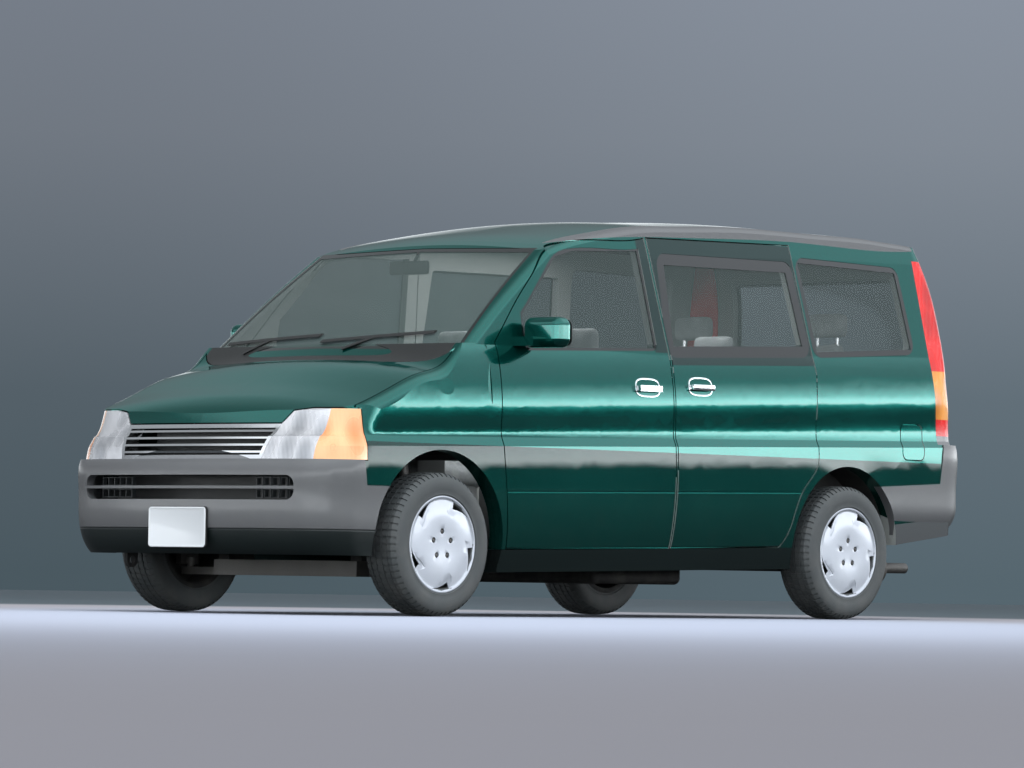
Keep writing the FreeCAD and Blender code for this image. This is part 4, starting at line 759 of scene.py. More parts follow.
class MinivanPaint(bpy.types.PropertyGroup):
    """Colours of the body, its trim, its glass and its cabin."""

    paint: colour_prop("Body paint", "Dark metallic green of the body", (0.001, 0.085, 0.070))
    metal: share_prop("Flake share", "How metallic the body paint is", 0.85)
    bumper: colour_prop("Bumper", "Grey of bumpers and roof mouldings", (0.085, 0.087, 0.091))
    film: colour_prop("Black film", "Black of pillars and glass borders", (0.006, 0.008, 0.008))
    glass: colour_prop("Glass", "Tint of the windows", (0.060, 0.085, 0.080))
    glass_body: share_prop("Glass body", "How much tint a window seen straight on shows", 0.06)
    cabin: colour_prop("Cabin trim", "Light grey of the linings", (0.30, 0.31, 0.30))
    plastic: colour_prop("Cabin plastic", "Grey of the dashboard", (0.16, 0.165, 0.165))
    cloth: colour_prop("Seat cloth", "Light grey of the seats", (0.33, 0.35, 0.35))


class MinivanWheels(bpy.types.PropertyGroup):
    """Sizes of the tyres and of the wheel covers."""

    tyre_radius: length_prop("Tyre radius", "Radius over the tread blocks", 0.3096)
    tyre_width: length_prop("Tyre width", "Width over the side walls", 0.194)
    tread_depth: length_prop("Tread depth", "Depth of the tread's grooves", 0.006)
    cover_radius: length_prop("Cover radius", "Outer radius of the wheel cover", 0.2095)
    lug_circle: length_prop("Lug circle", "Radius at which the lug recesses lie", 0.057)


class MinivanStage(bpy.types.PropertyGroup):
    """The studio round the minivan."""

    floor_radius: length_prop("Floor radius", "How far the pale floor reaches", 24.0)
    # The floor's two colours carry painted light: pale in the pool near the minivan, dimmer far
    # off.
    floor: colour_prop("Floor", "Pale floor near the minivan", (0.33, 0.355, 0.43))
    floor_far: colour_prop("Far floor", "Floor far from the minivan", (0.265, 0.255, 0.275))
    sky: share_prop("Soft light", "Strength of the studio's soft light", 1.0)
    lens: bpy.props.FloatProperty(name="Lens", description="Camera's focal length in millimetres",
                                  default=204.88)


# Stage


# The camera as fitted to the photograph, in degrees: how far round from the front to the left,
# how far up from level, and how far rolled. Its distance is from the point that it aims at.
CAMERA_AZIMUTH, CAMERA_ELEVATION, CAMERA_ROLL = 41.677, -1.897, 0.867
CAMERA_DISTANCE = 26.576
CAMERA_AIM = Vector((0.00679, -0.16321, 1.05442))


def camera_axes(azimuth, elevation, roll):
    """The camera's axes: to the right, up, and back from the minivan."""
    azimuth, elevation, roll = (math.radians(angle) for angle in (azimuth, elevation, roll))
    back = Vector((math.sin(azimuth) * math.cos(elevation),
                   -math.cos(azimuth) * math.cos(elevation), math.sin(elevation)))
    right = Vector((math.cos(azimuth), math.sin(azimuth), 0.0))
    up = back.cross(right)
    return (right * math.cos(roll) + up * math.sin(roll),
            up * math.cos(roll) - right * math.sin(roll), back)


CAMERA_RIGHT, CAMERA_UP, CAMERA_BACK = camera_axes(CAMERA_AZIMUTH, CAMERA_ELEVATION, CAMERA_ROLL)

# Painted light on the floor: a pale pool near the minivan that fades twice with distance, to its
# far colour and to the backdrop's dark foot. Towards the camera, distance counts for less by the
# stretch.
FLOOR_STRETCH = 0.85
FLOOR_FADE = (0.8, 3.0)
FLOOR_END = (3.2, 4.4)
FLOOR_DARK = (0.060, 0.078, 0.090)
FLOOR_SPECK = (0.2, 0.2, 0.2)
# What the floor gives back to the minivan: little, as in the photograph.
FLOOR_BOUNCE = (0.030, 0.033, 0.036)

# The dome's light by height, from level to overhead: dark, a bright low band, and a soft sky.
DOME_LIGHT = (
    (0.0, (0.006, 0.007, 0.008)), (0.030, (0.008, 0.009, 0.010)), (0.045, (0.92, 0.98, 1.0)),
    (0.072, (0.80, 0.84, 0.88)), (0.11, (0.42, 0.44, 0.46)), (0.20, (0.075, 0.080, 0.086)),
    (0.32, (0.13, 0.138, 0.15)), (0.50, (0.20, 0.215, 0.23)), (0.75, (0.17, 0.18, 0.19)),
    (1.0, (0.16, 0.168, 0.176)),
)
DOME_STRENGTH = 9.0
# How its light grows from the minivan's right to its left, and towards its front, and by how
# much its heights drop in front: from, to, and the value at each.
DOME_SIDE = (-0.45, 0.25, 0.20, 1.0)
DOME_FRONT = (-0.40, -0.62, 0.0, 0.75)
DOME_DROP = (-0.30, -0.60, 0.0, 0.05)

# Painted light on the backdrop: its colour by height, times a factor, and its brightness from left
# to right.
BACKDROP = (
    (0.0, (0.072, 0.103, 0.122)), (0.25, (0.094, 0.123, 0.146)), (0.6, (0.170, 0.195, 0.230)),
    (1.0, (0.210, 0.238, 0.290)),
)
BACKDROP_HEIGHTS = 8.0
BACKDROP_ACROSS = (-0.09, 0.09, 0.96, 1.30)

# Soft square lamps: place, what each aims at, size and power. The last hangs under the roof, and
# stands in for the light that comes in through all the windows.
LAMPS = {
    "soft_key": ((3.0, -6.0, 7.5), (0.0, -0.4, 0.6), 6.0, 520.0),
    "soft_top": ((0.0, 0.5, 8.0), (0.0, 0.0, 0.0), 8.0, 420.0),
    "soft_cabin": ((0.0, 0.3, 1.70), (0.0, 0.3, 0.0), 1.1, 26.0),
}
LAMP_COLOUR = (0.95, 0.98, 1.0)


class MINIVAN_OT_stage(bpy.types.Operator):
    """Make the pale floor, the soft studio light and the camera at the photograph's angle"""

    bl_idname = "minivan.stage"
    bl_label = "Stage"

    def execute(self, context):
        stage = context.scene.minivan_stage
        make_floor(stage)
        make_world(context.scene, stage)
        make_lamps(context.scene)
        make_camera(context.scene, stage)
        return {"FINISHED"}


def make_floor(stage):
    """A wide round floor with a painted pool of light, pale to the camera and dark to the minivan.
    """
    bpy.ops.object.select_all(action="DESELECT")
    bpy.ops.mesh.primitive_circle_add(vertices=128, radius=stage.floor_radius, fill_type="NGON")
    floor = named("studio_floor")
    net = Finish("studio_floor", stage.floor, Roughness=0.9)
    net.to("Specular IOR Level", 0.1)
    nearness = net.vector("DOT_PRODUCT", net.place(), (CAMERA_BACK.x, CAMERA_BACK.y, 0.0))
    away = net.minus(net.vector("LENGTH", net.place()),
                     net.times(net.most(nearness, 0.0), FLOOR_STRETCH))
    # Painted light: the pool fades to the far colour, then to dark.
    colour = net.blend(net.between(away, *FLOOR_FADE), tone(stage.floor), tone(stage.floor_far))
    colour = net.blend(net.between(away, *FLOOR_END), colour, tone(FLOOR_DARK))
    speck = net.times(net.noise(net.place(), 1.2, 5.0), 0.06)
    colour = net.blend(speck, colour, tone(FLOOR_SPECK))
    seen = net.add("ShaderNodeLightPath").outputs["Is Camera Ray"]
    net.to("Base Color", net.blend(seen, tone(FLOOR_BOUNCE), colour))
    floor.data.materials.append(net.material)


def make_world(scene, stage):
    """A soft dome for light and reflections, and a grey backdrop for the camera with painted light
    and shade.
    """
    world = bpy.data.worlds.new("studio")
    world.use_nodes = True
    scene.world = world
    net = Net(world.node_tree)
    shader = net.tree.nodes["Background"]
    way = net.add("ShaderNodeTexCoord").outputs["Generated"]
    x, y, height = net.axes(way)
    lowered = net.math("ADD", height, net.between(y, *DOME_DROP), clamp=True)
    share = net.most(net.between(x, *DOME_SIDE), net.between(y, *DOME_FRONT))
    dome = net.scaled(net.ramp(lowered, DOME_LIGHT), net.times(share, DOME_STRENGTH))
    # Painted light: the backdrop darkens towards its foot and brightens to the right.
    backdrop = net.ramp(net.math("MULTIPLY", height, BACKDROP_HEIGHTS, clamp=True), BACKDROP)
    across = net.vector("DOT_PRODUCT", way, tuple(CAMERA_RIGHT))
    wall = net.scaled(backdrop, net.between(across, *BACKDROP_ACROSS))
    seen = net.add("ShaderNodeLightPath").outputs["Is Camera Ray"]
    net.put(shader.inputs["Color"], net.blend(seen, dome, wall))
    shader.inputs["Strength"].default_value = stage.sky


def make_lamps(scene):
    """The soft lamps, which neither the camera nor a reflection shows."""
    for name, (place, aim, size, power) in LAMPS.items():
        lamp = bpy.data.lights.new(name, "AREA")
        lamp.shape = "SQUARE"
        lamp.size = size
        lamp.energy = power
        lamp.color = LAMP_COLOUR
        holder = bpy.data.objects.new(name, lamp)
        scene.collection.objects.link(holder)
        holder.location = place
        toward = Vector(aim) - Vector(place)
        holder.rotation_euler = toward.to_track_quat("-Z", "Y").to_euler()
        holder.visible_camera = False
        holder.visible_glossy = False


def make_camera(scene, stage):
    """The photograph's view: place, turn and lens of the fitted camera."""
    data = bpy.data.cameras.new("camera")
    data.lens = stage.lens
    data.sensor_width = 36.0
    data.clip_start, data.clip_end = 0.5, 200.0
    camera = bpy.data.objects.new("camera", data)
    scene.collection.objects.link(camera)
    turn = Matrix((CAMERA_RIGHT, CAMERA_UP, CAMERA_BACK)).transposed().to_4x4()
    place = CAMERA_AIM + CAMERA_BACK * CAMERA_DISTANCE
    camera.matrix_world = Matrix.Translation(place) @ turn
    scene.camera = camera
    scene.view_settings.view_transform = "Standard"


# Finishes of this minivan


# Outlines of the panes, and the widths of their black borders. Those of the sides are (y, z),
# those of the windshield and the tailgate (x, z).
FRONT_GLASS = ((-0.958, 1.332), (-0.866, 1.426), (-0.778, 1.522), (-0.691, 1.603),
               (-0.571, 1.635), (-0.120, 1.657), (-0.069, 1.197), (-0.958, 1.166))
SLIDE_GLASS = ((-0.0037, 1.643), (0.9657, 1.651), (1.0384, 1.209), (-0.0023, 1.169))
QUARTER_GLASS = ((0.9924, 1.676), (1.7808, 1.664), (1.8406, 1.253), (1.0615, 1.209))
SCREEN = ((-0.746, 1.158), (0.746, 1.158), (0.649, 1.624), (0.0, 1.642), (-0.649, 1.624))
GATE_GLASS = ((-0.586, 1.171), (0.586, 1.171), (0.536, 1.647), (-0.536, 1.647))
PANES = {
    "screen_glass": (((SCREEN, 0.016),), "XZ"),
    "gate_glass": (((GATE_GLASS, 0.035),), "XZ"),
    "door_glass": (((FRONT_GLASS, 0.012),), "YZ"),
    "side_glass": (((SLIDE_GLASS, 0.052), (QUARTER_GLASS, 0.026)), "YZ"),
}

# Zones of another colour on the paint: the grey corner of the rear bumper, the black below the
# sill line, behind the front doors' glass, and round the sliding door's.
REAR_CORNER = below_line(1.6405, 0.447, 0.089, 1.62)
SILL = below_line(-1.1225, 0.299, 0.0168)
PILLAR = behind_line(-0.085, 1.190, -0.135, 1.70)
SLIDE_FRAME = polygon_zone(((-0.075, 1.715), (1.010, 1.722), (1.088, 1.172), (-0.020, 1.135)))

# Plain finishes: colour, roughness, cells of grain in a metre, its depth, its spread in colour,
# and what else differs.
PLAIN = {
    "black_plastic": ((0.012, 0.013, 0.013), 0.48, 800.0, 0.0001, 0.35, {"dust": 0.06}),
    "under_black": ((0.010, 0.010, 0.010), 0.75, 300.0, 0.0004, 0.4, {"dust": 0.25}),
    "rubber": ((0.050, 0.056, 0.058), 0.62, 1100.0, 0.00012, 0.2, {"dust": 0.22}),
    "steel": ((0.13, 0.125, 0.12), 0.55, 260.0, 0.0004, 0.45, {"metallic": 0.8, "dust": 0.4}),
    "cast_metal": ((0.32, 0.32, 0.33), 0.45, 320.0, 0.0006, 0.2, {"metallic": 0.9, "dust": 0.3}),
    "chrome": ((0.82, 0.83, 0.84), 0.14, 60.0, 0.00001, 0.03, {"metallic": 1.0}),
    "mirror_silver": ((0.86, 0.88, 0.90), 0.03, 40.0, 0.0, 0.02, {"metallic": 1.0}),
    "wheel_silver": ((0.44, 0.465, 0.52), 0.32, 1500.0, 0.00004, 0.06,
                     {"metallic": 0.25, "dust": 0.10, "Coat_Weight": 0.6, "Coat_Roughness": 0.1}),
    # Painted shade: near black for the inside of the handles' bowls.
    "recess_shade": ((0.012, 0.013, 0.015), 0.6, 500.0, 0.0001, 0.3, {}),
    "bumper_dark": ((0.030, 0.034, 0.036), 0.45, 700.0, 0.0001, 0.25, {}),
    "plate_white": ((0.62, 0.64, 0.66), 0.35, 1200.0, 0.00003, 0.03, {"Coat_Weight": 0.3}),
}


class MINIVAN_OT_finishes(bpy.types.Operator):
    """Make every finish from the colours of the paint settings"""

    bl_idname = "minivan.finishes"
    bl_label = "Finishes"

    def execute(self, context):
        settings = context.scene.minivan_paint
        bumper = tuple(settings.bumper)
        make_paint("body_paint", settings, trim=True, film=(REAR_CORNER,), film_colour=bumper)
        make_paint("panel_paint", settings)
        make_paint("sill_paint", settings, film=(SILL,))
        make_paint("door_paint", settings, lines=True, film=(PILLAR,), trim=True)
        make_paint("slide_paint", settings, lines=True, film=(SLIDE_FRAME,), trim=True)
        make_bumper("bumper", bumper)
        make_plain("moulding", tone(bumper, 0.8)[:3], 0.42, 900.0, 0.00006, 0.10,
                   Coat_Weight=0.25, Coat_Roughness=0.2)
        make_plain("cabin_plastic", tuple(settings.plastic), 0.55, 520.0, 0.0004, 0.15)
        for name, (*values, others) in PLAIN.items():
            make_plain(name, *values, **others)
        make_cloth("seat_cloth", tuple(settings.cloth))
        for name, (outlines, plane) in PANES.items():
            make_glass(name, settings, outlines, plane)
        make_lens("clear_lens", (0.66, 0.66, 0.68), (0.34, 0.35, 0.37), 0.60)
        make_lens("amber_lens", (0.80, 0.42, 0.20), (0.70, 0.20, 0.05), 0.20)
        make_tail_lens("tail_lens")
        return {"FINISHED"}


NODE_FINISHES = {
    "body_paint": ("body_shell", "tailgate"),
    "panel_paint": ("roof_panel", "hood", "fenders", "fuel_lid", "slide_rail", "mirror_left",
                    "mirror_right"),
    "sill_paint": ("sills",),
    "door_paint": ("door_front_left", "door_front_right"),
    "slide_paint": ("door_slide",),
    "bumper": ("front_bumper", "rear_bumper"),
    "moulding": ("roof_mouldings",),
    "black_plastic": ("cowl", "wipers", "radiator"),
    "under_black": ("floor_pan", "front_frame", "fuel_tank"),
    "steel": ("knuckle_left", "knuckle_right", "front_suspension", "rear_axle", "exhaust"),
    "cast_metal": ("engine_block",),
    "chrome": ("grille", "handle_front_left", "handle_front_right", "handle_slide"),
    "screen_glass": ("windshield",),
    "gate_glass": ("tailgate_glass",),
    "door_glass": ("glass_front_left", "glass_front_right"),
    "side_glass": ("side_glasses",),
    "clear_lens": ("headlamps",),
    "amber_lens": ("turn_signals",),
    "tail_lens": ("tail_lamps",),
    "plate_white": ("number_plate",),
    "rubber": tuple("tyre_" + spot for spot in WHEELS),
    "wheel_silver": tuple("wheel_" + spot for spot in WHEELS),
    "seat_cloth": ("front_seats", "benches"),
    "cabin_plastic": ("dashboard", "steering_wheel", "load_board"),
}


class MINIVAN_OT_nodes(bpy.types.Operator):
    """Give every piece of the frame its finish"""

    bl_idname = "minivan.nodes"
    bl_label = "Frame finishes"

    def execute(self, context):
        for finish_name, nodes in NODE_FINISHES.items():
            for node in nodes:
                dress(node, finish_name)
        return {"FINISHED"}


# Tyres and wheels


TREAD_STEPS = 192
SLOT_EVERY = 3
# Half of the tyre's section: the side wall, as steps in from the widest place and radii, and the
# tread's ribs, each from an inner to an outer distance from the middle.
TYRE_SIDE = ((0.0130, 0.1908), (0.0075, 0.1990), (0.0070, 0.2110), (0.0035, 0.2150),
             (0.0045, 0.2215), (0.0012, 0.2350), (0.0, 0.2520), (0.0008, 0.2670),
             (0.0035, 0.2800), (0.0085, 0.2905), (0.0155, 0.2985), (0.0240, 0.3040))
TREAD_RIBS = ((0.0520, 0.0700), (0.0205, 0.0460), (0.0, 0.0145))
TREAD_EDGE = 0.0700
TREAD_CROWN = 0.0030
# How steeply a groove's walls stand: how far in its two walls' feet lie from a rib's edge.
GROOVE_WALL, GROOVE_FLOOR = 0.0008, 0.0052
# The shoulder's slots end at this radius.
SHOULDER_FOOT = 0.2870


class MINIVAN_OT_tyres(bpy.types.Operator):
    """Model one tyre with its tread blocks and shoulder slots, and put a copy on every wheel"""

    bl_idname = "minivan.tyres"
    bl_label = "Tyres"

    def execute(self, context):
        tyre = coat(make_tyre(context.scene.minivan_wheels), "rubber")
        fit_wheels(tyre, "tread", "tyre")
        return {"FINISHED"}


def make_tyre(sizes):
    """One tyre round the origin: its section is spun, then slots are pressed into its tread."""
    top, half, deep = sizes.tyre_radius, sizes.tyre_width / 2, sizes.tread_depth
    half_section = [(half - inset, radius) for inset, radius in TYRE_SIDE]
    for inner, outer in TREAD_RIBS:
        crown = [top - TREAD_CROWN * (reach / TREAD_EDGE) ** 2 for reach in (outer, inner)]
        half_section.append((outer, crown[0]))
        if inner:
            half_section += [(inner, crown[1]), (inner - GROOVE_WALL, crown[1] - deep),
                             (inner - GROOVE_FLOOR, crown[1] - deep)]
    tyre = spun("tyre_form", half_section + [(-a, r) for a, r in reversed(half_section)],
                TREAD_STEPS)

    def in_slot(face):
        """Every third face of a rib and of the shoulders, in rows that are set off."""
        centre = face.center
        reach, radius = abs(centre.x), math.hypot(centre.y, centre.z)
        if radius <= SHOULDER_FOOT or abs(face.normal.x) > 0.96:
            return False
        if reach < TREAD_EDGE and radius <= top - deep:
            return False
        if reach < TREAD_RIBS[0][0] and radius < top - deep + 0.0015:
            return False
        step = round(math.atan2(centre.y, centre.z) / (2 * math.pi) * TREAD_STEPS - 0.5)
        shift = (reach < 0.02) + (centre.x > 0.02)
        return (step + shift) % SLOT_EVERY == 0

    edit(tyre, "FACE", in_slot)
    sink = {"value": -deep * 0.8}
    bpy.ops.mesh.extrude_region_shrink_fatten(TRANSFORM_OT_shrink_fatten=sink)
    done()
    smooth(tyre, 32)
    return tyre


def fit_wheels(form, prefix, node_prefix):
    """Copies of a form made round the origin, outer side towards +X, on the four wheels."""
    turn = Matrix.Rotation(math.pi, 4, "Z")
    for spot, centre in WHEELS.items():
        matrix = Matrix.Translation(centre)
        if centre.x < 0:
            matrix = matrix @ turn
        piece = copied(form, prefix + "_" + spot, matrix)
        settle(piece, "wheel_" + spot, (node_prefix + "_" + spot,))
    bpy.data.objects.remove(form)


# A cover slot and the pocket round it, wide end first: radius, and degrees from its middle.
COVER_SLOT = ((0.1960, 15.0), (0.1965, 0.0), (0.1970, -15.0), (0.1650, -13.0), (0.1740, -4.0),
              (0.1860, 6.0))
COVER_POCKET = ((0.1990, 17.5), (0.1990, 0.0), (0.1990, -19.0), (0.1480, -24.0),
                (0.1500, -13.0), (0.1700, 0.0), (0.1840, 9.0))
COVER_SLOTS = 5
# Along the axle from the wheel's middle: behind the cover, its pockets' and lug recesses'
# floors, and a place well outside.
COVER_BEHIND, POCKET_FLOOR, RECESS_FLOOR, OUTSIDE = 0.05, 0.0872, 0.0835, 0.12
LUG_FOOT, LUG_TOP = 0.078, 0.0875
RECESS_RADIUS, LUG_RADIUS = 0.0125, 0.0085
# The steel wheel's section: along the axle, and outwards.
RIM_SECTION = (
    (0.0610, 0.0), (0.0610, 0.0202), (-0.0150, 0.0202), (-0.0150, 0.062), (0.0310, 0.062),
    (0.0310, 0.1640), (0.0400, 0.1825), (-0.0875, 0.1825), (-0.0900, 0.1870), (-0.0900, 0.2050),
    (-0.0875, 0.2085), (-0.0840, 0.2060), (-0.0840, 0.1907), (0.0790, 0.1907), (0.0780, 0.1880),
    (0.0480, 0.1840), (0.0400, 0.1660), (0.0400, 0.070), (0.0640, 0.062), (0.0640, 0.0))


class MINIVAN_OT_wheels(bpy.types.Operator):
    """Model one wheel with its slotted cover and lug recesses, and put a copy on every hub"""

    bl_idname = "minivan.wheels"
    bl_label = "Wheels"

    def execute(self, context):
        sizes = context.scene.minivan_wheels
        parts = [coat(make_cover(sizes), "wheel_silver"), coat(make_lugs(sizes), "steel"),
                 coat(make_rim(), "under_black")]
        fit_wheels(united("wheel_form", parts), "cover", "wheel")
        return {"FINISHED"}


def around(radius, clock, along=0.0):
    """A point on the wheel, clock degrees from the top as seen from outside."""
    angle = math.radians(clock)
    return Vector((along, radius * math.sin(angle), radius * math.cos(angle)))


def slot_cutter(outline, clock, low, high):
    """A prism with a slot's outline, run along the axle: a filled outline, extruded."""
    points = [around(radius, clock + degrees, low) for radius, degrees in outline]
    cutter = chain("slot_cutter", points + points[:1])
    edit(cutter, "VERT")
    bpy.ops.mesh.remove_doubles(threshold=0.00001)
    bpy.ops.mesh.edge_face_add()
    extrude((high - low, 0, 0))
    bpy.ops.mesh.select_all(action="SELECT")
    bpy.ops.mesh.normals_make_consistent(inside=False)
    done()
    return cutter


def make_cover(sizes):
    """The plastic cover: a dished disc with a raised ring, five pockets, slots and recesses."""
    rim = sizes.cover_radius
    section = [(0.0880, 0.0), (0.0885, 0.030), (0.0893, 0.062), (0.0905, 0.090), (0.0905, 0.125),
               (0.0893, 0.160), (0.0868, 0.184), (0.0862, 0.1925), (0.0885, 0.1975),
               (0.0915, 0.2010), (0.0922, 0.2045), (0.0905, rim - 0.001), (0.0868, rim),
               (0.0840, 0.2075), (0.0820, 0.1990), (0.0805, 0.1900), (0.0830, 0.1700),
               (0.0850, 0.130), (0.0845, 0.062), (0.0830, 0.0)]
    cover = spun("cover_form", section, 120, closed=False)
    pitch = 360 / COVER_SLOTS
    for k in range(COVER_SLOTS):
        clock = pitch * (k + 0.5)
        carve(cover, slot_cutter(COVER_POCKET, clock, POCKET_FLOOR, OUTSIDE))
        carve(cover, slot_cutter(COVER_SLOT, clock, COVER_BEHIND, OUTSIDE))
        centre = around(sizes.lug_circle, pitch * k)
        carve(cover, rod("lug_cutter", RECESS_RADIUS, centre + Vector((RECESS_FLOOR, 0, 0)),
                         centre + Vector((OUTSIDE, 0, 0)), 32))
    rounded(cover, 0.0012, 2, 25)
    smooth(cover, 30)
    return cover


def make_lugs(sizes):
    """Five capped nuts at the bottom of the recesses, modelled once."""
    centre = around(sizes.lug_circle, 0)
    lug = rod("lug", LUG_RADIUS, centre + Vector((LUG_FOOT, 0, 0)),
              centre + Vector((LUG_TOP, 0, 0)), 6)
    rounded(lug, 0.0012, 2, 25)
    lugs = [lug]
    for k in range(1, COVER_SLOTS):
        turn = Matrix.Rotation(math.radians(-360 / COVER_SLOTS * k), 4, "X")
        lugs.append(copied(lug, "lug_%d" % k, turn))
    joined = united("lugs", lugs)
    smooth(joined, 30)
    return joined


def make_rim():
    """The steel wheel behind the cover: barrel, disc and hub, with the spindle's bore."""
    rim = spun("rim_form", RIM_SECTION, 72, closed=False)
    smooth(rim)
    return rim


# Fittings outside


def seat_on_side(y, z):
    """Where the left side of the body lies at a place, and how it faces: the CAD is asked."""
    origin = Vector((1.2, y, z))
    hits = []
    for name in ("door_front_left", "door_slide", "body_shell", "fenders"):
        hit, place, normal, _ = NODES[name].ray_cast(origin, Vector((-1, 0, 0)))
        if hit:
            hits.append((place.copy(), normal.copy()))
    return max(hits, key=lambda found: found[0].x)


# The handles' bezel: its size, the power that makes its oval full, and its ring and bowl.
BEZEL_WIDE, BEZEL_HIGH, BEZEL_THICK = 0.168, 0.086, 0.008
BEZEL_POWER = 3.2
RING_WIDE, BOWL_DEEP, BOWL_LIP = 0.007, 0.007, 0.012
PULL_THICK, PULL_FOOT = 0.013, 0.016


class MINIVAN_OT_handles(bpy.types.Operator):
    """Model a handle's bezel with its bowl painted dark inside as shade, and set one behind every
    door handle
    """

    bl_idname = "minivan.handles"
    bl_label = "Handle bezels"

    def execute(self, context):
        # Each handle, its body, and the handle on the left that it is modelled from.
        for name, body, source in (("front_left", "door_front_left", "handle_front_left"),
                                   ("slide", "body", "handle_slide"),
                                   ("front_right", "door_front_right", "handle_front_left")):
            low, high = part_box(source)
            centre = (low + high) / 2
            bezel = make_bezel(centre, *seat_on_side(centre.y, centre.z + 0.03))
            whole = united("bezel_" + name, [bezel, make_pull(low, high)])
            if name == "front_right":
                whole.data.transform(MIRROR_X)
                whole.data.flip_normals()
            settle(whole, body, ("handle_" + name,))
        return {"FINISHED"}


def make_bezel(centre, place, normal):
    """A chrome ring with rounded ends round a dished bowl painted dark inside as shade, laid on
    the door's skin.
    """
    half_wide, half_high = BEZEL_WIDE / 2, BEZEL_HIGH / 2
    bpy.ops.object.select_all(action="DESELECT")
    bpy.ops.mesh.primitive_cylinder_add(vertices=48, radius=0.5, depth=1.0,
                                        rotation=(0, math.pi / 2, 0))
    ring = named("bezel")
    ring.data.transform(Matrix.Diagonal((BEZEL_THICK, BEZEL_WIDE, BEZEL_HIGH, 1.0)))
    square_ends(ring, half_wide, half_high)
    edit(ring, "FACE", lambda face: face.normal.x > 0.9)
    bpy.ops.mesh.inset(thickness=RING_WIDE)
    extrude((-BOWL_DEEP, 0, 0))
    bpy.ops.mesh.inset(thickness=BOWL_LIP)
    extrude((-0.0006, 0, 0))
    done()
    rounded(ring, 0.002, 3, 40)
    smooth(ring)
    coat(ring, "chrome", "recess_shade")
    # The inside of the bowl gets the near-black painted shade.
    coat_faces(ring, 1, lambda face: face.center.x < -0.0015
               and abs(face.center.y) < half_wide - RING_WIDE
               and abs(face.center.z) < half_high - RING_WIDE)
    lean = math.atan2(normal.z, normal.x)
    heading = math.atan2(normal.y, normal.x)
    turn = Matrix.Rotation(heading, 4, "Z") @ Matrix.Rotation(-lean, 4, "Y")
    seat = (place.x + 0.0015, centre.y, centre.z + 0.004)
    ring.data.transform(Matrix.Translation(seat) @ turn)
    return ring


def square_ends(ring, wide, high):
    """Make an oval fuller, as a rounded rectangle is."""
    for vertex in ring.data.vertices:
        u, v = vertex.co.y / wide, vertex.co.z / high
        reach = math.hypot(u, v)
        if reach > 0.01:
            u, v = u / reach, v / reach
            full = 1.0 / (abs(u) ** BEZEL_POWER + abs(v) ** BEZEL_POWER) ** (1 / BEZEL_POWER)
            vertex.co.y, vertex.co.z = u * full * wide, v * full * high


def make_pull(low, high):
    """The pull bar on its two feet, with rounded edges."""
    bar = block("pull", (high.x - PULL_THICK, low.y, low.z), high)
    for y in (low.y, high.y - PULL_FOOT):
        carve(bar, block("pull_foot", (low.x - 0.004, y, low.z + 0.003),
                         (high.x - 0.006, y + PULL_FOOT, high.z - 0.003)), "UNION")
    rounded(bar, 0.0045, 3, 40)
    smooth(bar)
    return coat(bar, "chrome")


# The plate, its pressed edge, and the bracket behind it.
PLATE_THICK, PLATE_CORNER = 0.003, 0.016
PRESSED_EDGE, PRESSED_WALL, PRESSED_DEEP = 0.004, 0.003, 0.0012
BRACKET_EDGE, BRACKET_CORNER = 0.003, 0.018


class MINIVAN_OT_plate(bpy.types.Operator):
    """Model the blank number plate with its pressed edge, on a dark bracket"""

    bl_idname = "minivan.plate"
    bl_label = "Number plate"

    def execute(self, context):
        low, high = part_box("number_plate")
        plate = rounded_slab("plate_face", low, (high.x, low.y + PLATE_THICK, high.z),
                             PLATE_CORNER)
        edit(plate, "FACE", lambda face: face.normal.y < -0.9)
        bpy.ops.mesh.inset(thickness=PRESSED_EDGE)
        bpy.ops.mesh.inset(thickness=PRESSED_WALL)
        extrude((0, PRESSED_DEEP, 0))
        done()
        rounded(plate, 0.0006, 2, 40)
        smooth(plate)
        coat(plate, "plate_white")
        bracket = rounded_slab(
            "bracket", (low.x - BRACKET_EDGE, low.y + PLATE_THICK + 0.0001, low.z - BRACKET_EDGE),
            (high.x + BRACKET_EDGE, high.y - 0.001, high.z + BRACKET_EDGE), BRACKET_CORNER)
        rounded(bracket, 0.001, 2, 40)
        smooth(bracket)
        coat(bracket, "black_plastic")
        whole = united("plate_and_bracket", [plate, bracket])
        settle(whole, "body", ("number_plate",))
        return {"FINISHED"}


# A mirror's pane: how far its edges lie in from the housing's outer and top sides, its corners,
# its dark rim, how far it is sunk behind it, and how far it is let in and stands proud.
PANE_WIDE, PANE_HIGH, PANE_EDGE = 0.207, 0.126, 0.008
PANE_CORNER, PANE_RIM, PANE_SINK = 0.034, 0.006, 0.0015
PANE_LET_IN, PANE_PROUD = 0.003, 0.0008


class MINIVAN_OT_mirrors(bpy.types.Operator):
    """Set the glass into the rear face of each door mirror"""

    bl_idname = "minivan.mirrors"
    bl_label = "Mirror glass"

    def execute(self, context):
        low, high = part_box("mirror_left")
        x0, x1 = high.x - PANE_WIDE, high.x - PANE_EDGE
        glass = rounded_slab("mirror_pane", (x0, high.y - PANE_LET_IN, high.z - PANE_HIGH),
                             (x1, high.y + PANE_PROUD, high.z - PANE_EDGE), PANE_CORNER)
        edit(glass, "FACE", lambda face: face.normal.y > 0.9)
        bpy.ops.mesh.inset(thickness=PANE_RIM)
        extrude((0, -PANE_SINK, 0))
        done()
        smooth(glass)
        coat(glass, "black_plastic", "mirror_silver")
        coat_faces(glass, 1, lambda face: face.normal.y > 0.9
                   and abs(face.center.x - (x0 + x1) / 2) < 0.01)
        settle(copied(glass, "mirror_pane_right", MIRROR_X), "door_front_right")
        settle(glass, "door_front_left")
        glass.name = "mirror_pane_left"
        return {"FINISHED"}


